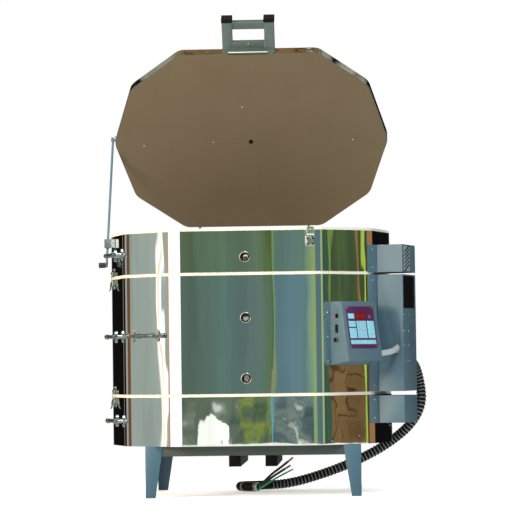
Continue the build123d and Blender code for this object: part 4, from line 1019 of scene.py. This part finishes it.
class KILN_OT_frame(Operator):
    """Painted stand, boxes, controller case and lid frame"""

    bl_idname = "kiln.frame"
    bl_label = "Painted metal"

    def execute(self, context):
        for node, look, width in (
            ("hinge_brackets", "Slate enamel", 0.0008), ("lid_straps", "Slate enamel", 0.001),
            ("brace_bar", "Slate enamel", 0.0008), ("stand_legs", "Leg enamel", 0.001),
            ("stand_rails", "Rail paint", 0.001), ("lid_arms", "Lid frame paint", 0.002),
            ("handle_tray", "Lid frame paint", 0.0006), ("edge_plate", "Lid frame paint", 0.0005),
        ):
            softened(node, "painted", look, width)
        dress("Slate enamel", "top_box")
        for node in ("middle_box", "bottom_box", "controller_case"):
            softened(node, "painted", "Slate enamel", 0.0006, flatten=False)
        self.trim()
        for node in ("hasp_leaf", "hasp_strap", "hasp_catch"):
            softened(node, "bright", "Zinc plate", 0.0004)
        softened("cross_channels", "painted", "Channel paint", 0.001)
        return {"FINISHED"}

    def trim(self):
        """Louvre slots as dark blocks of painted shade on their pale panel, the edge plate's lip coloured as a
        painted highlight, and dark plates of painted shade over the channels' open ends.
        """
        low, high = 0.845, 0.95
        middle = (low + high) / 2
        panel = (facet(BOXES, -0.048, middle, BOX_FACE + 0.0006), (0.078, high - low - 0.01, 0.0006))
        block_piece("louvre_panel", [panel], 0.0002, "Pale enamel")
        slope = Matrix.Rotation(math.radians(22), 4, "Z")
        rises = [middle + (index - 2.5) * 0.0145 for index in range(6)]
        # Dark blocks over the slots: painted shade in the openings behind them
        slots = [(facet(BOXES, -0.048, z, BOX_FACE + 0.001) @ slope, (0.066, 0.0056, 0.0008)) for z in rises]
        block_piece("louvre_slots", slots, 0.0003, "Dark enamel")
        # Edge plate's lower lip, coloured pale as a painted highlight
        lip = (lid_swing() @ shift(CHAMBER + Vector((0, -0.3846, LID_TOP - 0.0672))), (0.155, 0.0026, 0.005))
        block_piece("edge_plate_lip", [lip], 0.0008, "Bright lip", "lid", 40)
        # Dark plates over the channels' open ends: painted shade inside them
        ends = [(shift((x, -0.3325, 0.137)), (0.043, 0.0016, 0.039)) for x in (-0.0813, 0.0565)]
        block_piece("channel_ends", ends, 0.0004, "Dark enamel")


class KILN_OT_fittings(Operator):
    """Handles, latches, brace, hinge rod and the parts inside the boxes"""

    bl_idname = "kiln.fittings"
    bl_label = "Fittings"

    def execute(self, context):
        dress("Zinc plate", " ".join(node for node in frame["nodes"] if node.startswith("latch_")))
        for look, nodes in {
            "Zinc plate": "handle_saddles brace_stud guide_bracket hinge_rod link_rings",
            "Grip metal": "handle_grips",
            "Conduit metal": "link_conduit",
            "Guide paint": "guide_block",
            "Rubber": "brace_grip",
            "Black plastic": "arm_caps power_gland switch_bezel power_rocker data_port relays",
            "White ceramic": "terminal_block thermocouple",
            "Circuit board": "circuit_board",
            "Red lens": "fuse_cap",
            "Element wire": "heating_elements",
            "Keypad film": "keypad_plate",
        }.items():
            dress(look, nodes)
        return {"FINISHED"}


class KILN_OT_elements(Operator):
    """Coiled wire in every groove, with its tails out through the wall"""

    bl_idname = "kiln.elements"
    bl_label = "Heating elements"

    def execute(self, context):
        template = self.ring(context.scene.kiln_fitting)
        rows = [FLOOR_TOP, *(LOWER_JOINT + ROW * row for row in range(4)), UPPER_JOINT]
        heights = [row + ROW * share for row in rows for share in (0.25, 0.75)]
        for index, section in enumerate(("bottom", "middle", "top")):
            name = f"element_coils_{section}"
            spots = [shift((0, 0, height - 0.0034)) for height in heights[index * 4:index * 4 + 4]]
            coils = repeated(name, template, spots, "Element wire", smooth=60)
            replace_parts(coils, "heating_elements")
        return {"FINISHED"}

    def ring(self, fitting):
        """One element round the chamber at height zero."""
        inset = WALL - 0.0095
        radius = (HALF_DEPTH - inset) / math.cos(math.radians(18))
        half = Vector((INSERT / 2, 0, 0))
        right = [half + outward(angle) * radius for angle in (-72, -36, 0, 36, 72)]
        corners = [CHAMBER + p for p in right + [Vector((-p.x, p.y, 0)) for p in reversed(right)]]
        tails = [facet(BOXES, along, 0, -inset) for along in (-0.008, -0.032)]
        route = [tails[0].translation, *corners[2:], *corners[:2], tails[1].translation]
        length = inset + SKIN + 0.016

        def build(bm):
            for start, end in zip(route, route[1:]):
                self.coil(bm, start, end, fitting)
            for tail in tails:
                bmesh.ops.create_cone(
                    bm, cap_ends=True, segments=8, radius1=0.0022, radius2=0.0022, depth=length,
                    matrix=tail @ shift((0, 0, length / 2)),
                )

        return stamp_of(build)

    def coil(self, bm, start, end, fitting):
        """Straight helix between two corners of the groove."""
        run = end - start
        turns = max(1, round(run.length / fitting.coil_pitch))
        steps = turns * 9
        verts = bmesh.ops.create_circle(
            bm, cap_ends=False, radius=0.0011, segments=4,
            matrix=shift((fitting.coil_radius, 0, 0)) @ Matrix.Rotation(math.pi / 2, 4, "X"),
        )["verts"]
        first = len(bm.verts) - len(verts)
        bmesh.ops.spin(
            bm, geom=verts + list(edges_of(verts)), cent=(0, 0, 0), axis=(0, 0, 1),
            dvec=(0, 0, run.length / steps), angle=math.tau * turns, steps=steps,
            use_merge=False, use_duplicate=False,
        )
        bm.verts.ensure_lookup_table()
        bmesh.ops.transform(bm, matrix=axes(start, Z_AXIS, run), verts=bm.verts[first:])


# Small fastenings


def pan_head(bm):
    """Screw head of radius one, with a sunk cross in the middle."""
    profile = [(0, 0.42), (0.22, 0.44), (0.34, 0.6), (0.62, 0.54), (0.86, 0.36), (1.0, 0.12), (1.0, -0.05)]
    add_turned(bm, profile, 14)


def hex_head(bm):
    """Bolt head of radius one on a washer."""
    made = bmesh.ops.create_cone(
        bm, cap_ends=True, segments=6, radius1=1.0, radius2=1.0, depth=0.8, matrix=shift((0, 0, 0.55))
    )
    bevel(bm, edges_of(made["verts"]), 0.08)
    add_turned(bm, [(0, 0.16), (1.35, 0.16), (1.42, 0.08), (1.42, -0.04)], 16)


def fastened(name, head, spots, radius, look="Zinc plate", body=BODY):
    """One piece that holds a group of like heads."""
    sized = [place @ Matrix.Scale(radius, 4) for place in spots]
    repeated(name, stamp_of(head), sized, look, body, 35)


class KILN_OT_screws(Operator):
    """Screw, bolt and rivet heads on the sheet metal"""

    bl_idname = "kiln.screws"
    bl_label = "Screws and rivets"

    def execute(self, context):
        radius = context.scene.kiln_fitting.screw_radius
        levels = (0.932, 0.863, 0.814, 0.73, 0.615, 0.5, 0.414, 0.358, 0.29)
        spots = [
            facet(facing, along, z, SHEET) for facing, along, heights in (
                (CONTROLLER, -0.088, (0.69, 0.6, 0.5095)), (CONTROLLER, 0.0885, (0.7, 0.53)),
                (CONTROLLER, 0.126, levels), (BOXES, 0.0735, levels),
            ) for z in heights
        ]
        fastened("box_screws", pan_head, spots, radius)
        rows = (0.682, 0.62, 0.565, 0.507)
        spots = [facet(BOXES, along, z, BOX_FACE) for along in (-0.09, -0.035) for z in rows]
        fastened("box_rivets", pan_head, spots, radius * 0.9)
        self.plates(radius)
        self.bolts(radius)
        return {"FINISHED"}

    def plates(self, radius):
        """Screws through the hardware's own plates."""
        spots = [
            facet(facing, middle + across, joint + drop, SHEET)
            for facing, middle in ((LEFT_END, -0.06), (RIGHT_END, 0.06)) for joint in (UPPER_JOINT, LOWER_JOINT)
            for drop in (-0.038, 0.032) for across in (-0.008, 0.008)
        ]
        spots += [facet(LEFT_END, along, HINGE_Z - 0.04, SKIN + 0.002) for along in (-0.048, -0.072)]
        spots += [facet(CONTROLLER, along, z, SKIN + 0.0002) for along, z in ((-0.072, 0.207), (0.053, 0.225))]
        fastened("hardware_screws", pan_head, spots, radius * 0.8)
        leaf = [facet(FRONT_FLAT, along, z, 0.0102) for along in (0.2315, 0.2525) for z in (0.971, 0.95)]
        fastened("hasp_screws", pan_head, leaf, radius * 0.75, "Dark enamel")
        ends = ((LEFT_END, 0.027), (RIGHT_END, -0.027))
        handles = [(*end, z) for end in ends for z in HANDLE_HEIGHTS]
        handles += [(FRONT_LEFT, -0.019, HANDLE_HEIGHTS[1]), (BACK_RIGHT, 0.019, HANDLE_HEIGHTS[1])]
        feet = [
            facet(facing, along + side * 0.062, z + rise, SKIN + 0.005)
            for facing, along, z in handles for side in (-1, 1) for rise in (-0.015, 0.015)
        ]
        fastened("saddle_screws", pan_head, feet, radius * 0.75)

    def bolts(self, radius):
        """Bolts of the hinge and the lid frame."""
        back = HALF_DEPTH + SKIN + 0.004
        spots = [
            axes(CHAMBER + Vector((x + across, back, z)), -X_AXIS, Y_AXIS)
            for x in (-0.222, 0.222) for across in (-0.02, 0.02) for z in (0.945, 0.99)
        ]
        fastened("hinge_bolts", hex_head, spots, radius)
        lid = [
            on_lid(x, y, LID_TOP + 0.005, X_AXIS, Z_AXIS)
            for x in (-0.222, 0.222) for y in (0.262, 0.305, 0.348)
        ]
        lid += [
            on_lid(side * 0.1035, y, LID_TOP + 0.02, Y_AXIS, X_AXIS * side)
            for side in (-1, 1) for y in (-0.34, 0.0, 0.33)
        ]
        lid += [on_lid(0, -HALF_DEPTH - SKIN - 0.014, LID_TOP, -X_AXIS, -Z_AXIS)]
        fastened("lid_bolts", hex_head, lid, radius, body="lid")


# Controller


def text_mesh(body, size):
    """Flat mesh of one short word or number, centred."""
    data = bpy.data.curves.new("word", "FONT")
    data.body = body
    data.size = size
    data.align_x = "CENTER"
    data.align_y = "CENTER"
    data.resolution_u = 3
    return mesh_of(data)


def pad_piece(name, rectangles, thick, width, look, lift=PAD_FACE):
    """Raised blocks over rectangles of the keypad, each given by shares of its width and height."""
    blocks = [
        (
            on_pad(sum(u) / 2, sum(v) / 2, lift + thick / 2 - 0.0001),
            ((u[1] - u[0]) * PAD_WIDTH, (v[1] - v[0]) * PAD_HEIGHT, thick),
        )
        for u, v in rectangles
    ]
    block_piece(name, blocks, width, look, segments=3)


class KILN_OT_keypad(Operator):
    """Keypad film with its display, key groups and digits"""

    bl_idname = "kiln.keypad"
    bl_label = "Keypad"

    def execute(self, context):
        film = (on_pad(0.5, 0.5, 0.0009), (PAD_WIDTH, PAD_HEIGHT, 0.0016))
        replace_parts(block_piece("keypad_film", [film], 0.0006, "Keypad film"), "keypad_plate")
        pad_piece("key_groups", [
            ((0.04, 0.3), (0.345, 0.49)), ((0.04, 0.3), (0.515, 0.76)), ((0.325, 0.675), (0.345, 0.76)),
            ((0.7, 0.96), (0.345, 0.76)), ((0.04, 0.96), (0.8, 0.905)), ((0.05, 0.275), (0.165, 0.295)),
        ], 0.0004, 0.00015, "Key gap")
        self.keys()
        self.display()
        self.words()
        screws = [on_pad(u, v) for u in (0.04, 0.96) for v in (0.03, 0.955)]
        fastened("keypad_screws", pan_head, screws, 0.0026)
        return {"FINISHED"}

    def keys(self):
        """Slightly domed keys on each group."""
        lines = [(0.353 + line * 0.101, 0.447 + line * 0.101) for line in range(4)]
        cells = [((0.05, 0.29), (top, top + 0.062)) for top in (0.352, 0.422)]
        cells += [((0.058, 0.267), (0.172, 0.288))]
        cells += [((0.05, 0.29), (0.522 + k * 0.059, 0.576 + k * 0.059)) for k in range(4)]
        cells += [((left, left + 0.104), line) for left in (0.334, 0.446, 0.558) for line in lines]
        cells += [((0.71, 0.95), line) for line in lines]
        cells += [((0.05 + k * 0.226, 0.266 + k * 0.226), (0.81, 0.895)) for k in range(4)]
        pad_piece("key_domes", cells, 0.0004, 0.00018, "Key film", 0.002)

    def display(self):
        """Window and four slanted digits."""
        pad_piece("display_window", [((0.3, 0.69), (0.155, 0.305))], 0.0007, 0.00025, "Display window")
        bars = [(0, y, 0.0058, 0.0014) for y in (0.0075, 0, -0.0075)]
        bars += [(x, y, 0.0014, 0.0058) for x in (-0.0037, 0.0037) for y in (0.0038, -0.0038)]
        slant = Matrix(((1, 0.12, 0, 0), (0, 1, 0, 0), (0, 0, 1, 0), (0, 0, 0, 1)))
        digits = [
            (on_pad(0.36 + digit * 0.09, 0.23, PRINT) @ slant @ shift((x, y, 0)), (wide, tall, 0.0003))
            for digit in range(4) for x, y, wide, tall in bars
        ]
        block_piece("display_digits", digits, 0, "Display digits")

    def words(self):
        """Digits and plain words on the keys, and small marks beside the display."""
        row, step = 0.4025, 0.099
        words = [(str(n + 1), 0.0125, 0.389 + n % 3 * 0.108, row + n // 3 * step) for n in range(9)]
        words += [("0", 0.0125, 0.389, row + 3 * step), ("ENTER", 0.0062, 0.551, 0.6995)]
        words += [(str(n + 1), 0.0085, 0.83, row + n * step) for n in range(4)]
        commands = ("ON", "OFF", "UP", "DOWN")
        words += [(word, 0.0058, 0.1575 + n * 0.228, 0.8525) for n, word in enumerate(commands)]
        bm = bmesh.new()
        for word, size, u, v in words:
            add_stamped(bm, text_mesh(word, size), on_pad(u, v, PRINT))
        bmesh.ops.remove_doubles(bm, verts=bm.verts, dist=1e-7)
        finish_piece("key_digits", bm, "Key print", smooth=0)
        marks = []
        for drop in (0, 0.04):
            marks += [((0.8, 0.82), (0.215 + drop, 0.225 + drop)), ((0.85, 0.88), (0.217 + drop, 0.223 + drop))]
        pad_piece("display_marks", marks, 0.0002, 0.0, "White print")


class KILN_OT_side_fittings(Operator):
    """Fuse cap and data port on the controller's side, and the dark plate on the middle box"""

    bl_idname = "kiln.side_fittings"
    bl_label = "Side fittings"

    def execute(self, context):
        holder = [
            (0, 0.0105), (0.0048, 0.0105), (0.0058, 0.0098), (0.006, 0.003), (0.0084, 0.0028), (0.0086, 0.0003),
            (0, 0.0003),
        ]
        lens = [(0, 0.0122), (0.003, 0.0119), (0.0043, 0.0108), (0.0044, 0.01)]
        spot = [controller_side(0.046, 0.678)]
        piece = turned_piece("fuse_holder", spot, holder, 24, "Black plastic")
        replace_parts(piece, "fuse_cap")
        turned_piece("fuse_lens", spot, lens, 20, "Red lens")
        port = (controller_side(0.0545, 0.588, 0.0035), (0.004, 0.013, 0.006))
        block_piece("port_latch", [port], 0.0008, "Zinc plate")
        plate = (facet(BOXES, -0.029, 0.769, BOX_FACE + 0.0004), (0.138, 0.122, 0.0008))
        block_piece("box_dark_plate", [plate], 0.0002, "Dark enamel")
        return {"FINISHED"}


class KILN_PT_panel(Panel):
    bl_label = "Oval Kiln"
    bl_idname = "KILN_PT_panel"
    bl_space_type = "VIEW_3D"
    bl_region_type = "UI"
    bl_category = "Kiln"

    def draw(self, context):
        for settings in SETTINGS:
            group = getattr(context.scene, settings)
            box = self.layout.box()
            for name in group.bl_rna.properties.keys():
                if name not in ("rna_type", "name"):
                    box.prop(group, name)
        for operator in OPERATORS:
            self.layout.operator(operator.bl_idname)


SETTINGS = {
    "kiln_stage": KilnStageSettings,
    "kiln_finishes": KilnFinishSettings,
    "kiln_fitting": KilnFittingSettings,
}
OPERATORS = [
    KILN_OT_stage, KILN_OT_power_conduit, KILN_OT_wires, KILN_OT_bricks, KILN_OT_jackets, KILN_OT_frame,
    KILN_OT_fittings, KILN_OT_elements, KILN_OT_screws, KILN_OT_keypad, KILN_OT_side_fittings,
]


def register():
    for name, settings in SETTINGS.items():
        bpy.utils.register_class(settings)
        setattr(bpy.types.Scene, name, PointerProperty(type=settings))
    for operator in OPERATORS:
        bpy.utils.register_class(operator)
    bpy.utils.register_class(KILN_PT_panel)


def unregister():
    bpy.utils.unregister_class(KILN_PT_panel)
    for operator in reversed(OPERATORS):
        bpy.utils.unregister_class(operator)
    for name, settings in SETTINGS.items():
        delattr(bpy.types.Scene, name)
        bpy.utils.unregister_class(settings)


def main():
    register()
    bpy.ops.kiln.stage()
    bpy.ops.kiln.power_conduit()
    bpy.ops.kiln.wires()
    bpy.ops.kiln.bricks()
    bpy.ops.kiln.jackets()
    bpy.ops.kiln.frame()
    bpy.ops.kiln.fittings()
    bpy.ops.kiln.elements()
    bpy.ops.kiln.screws()
    bpy.ops.kiln.keypad()
    bpy.ops.kiln.side_fittings()


if __name__ == "__main__":
    main()
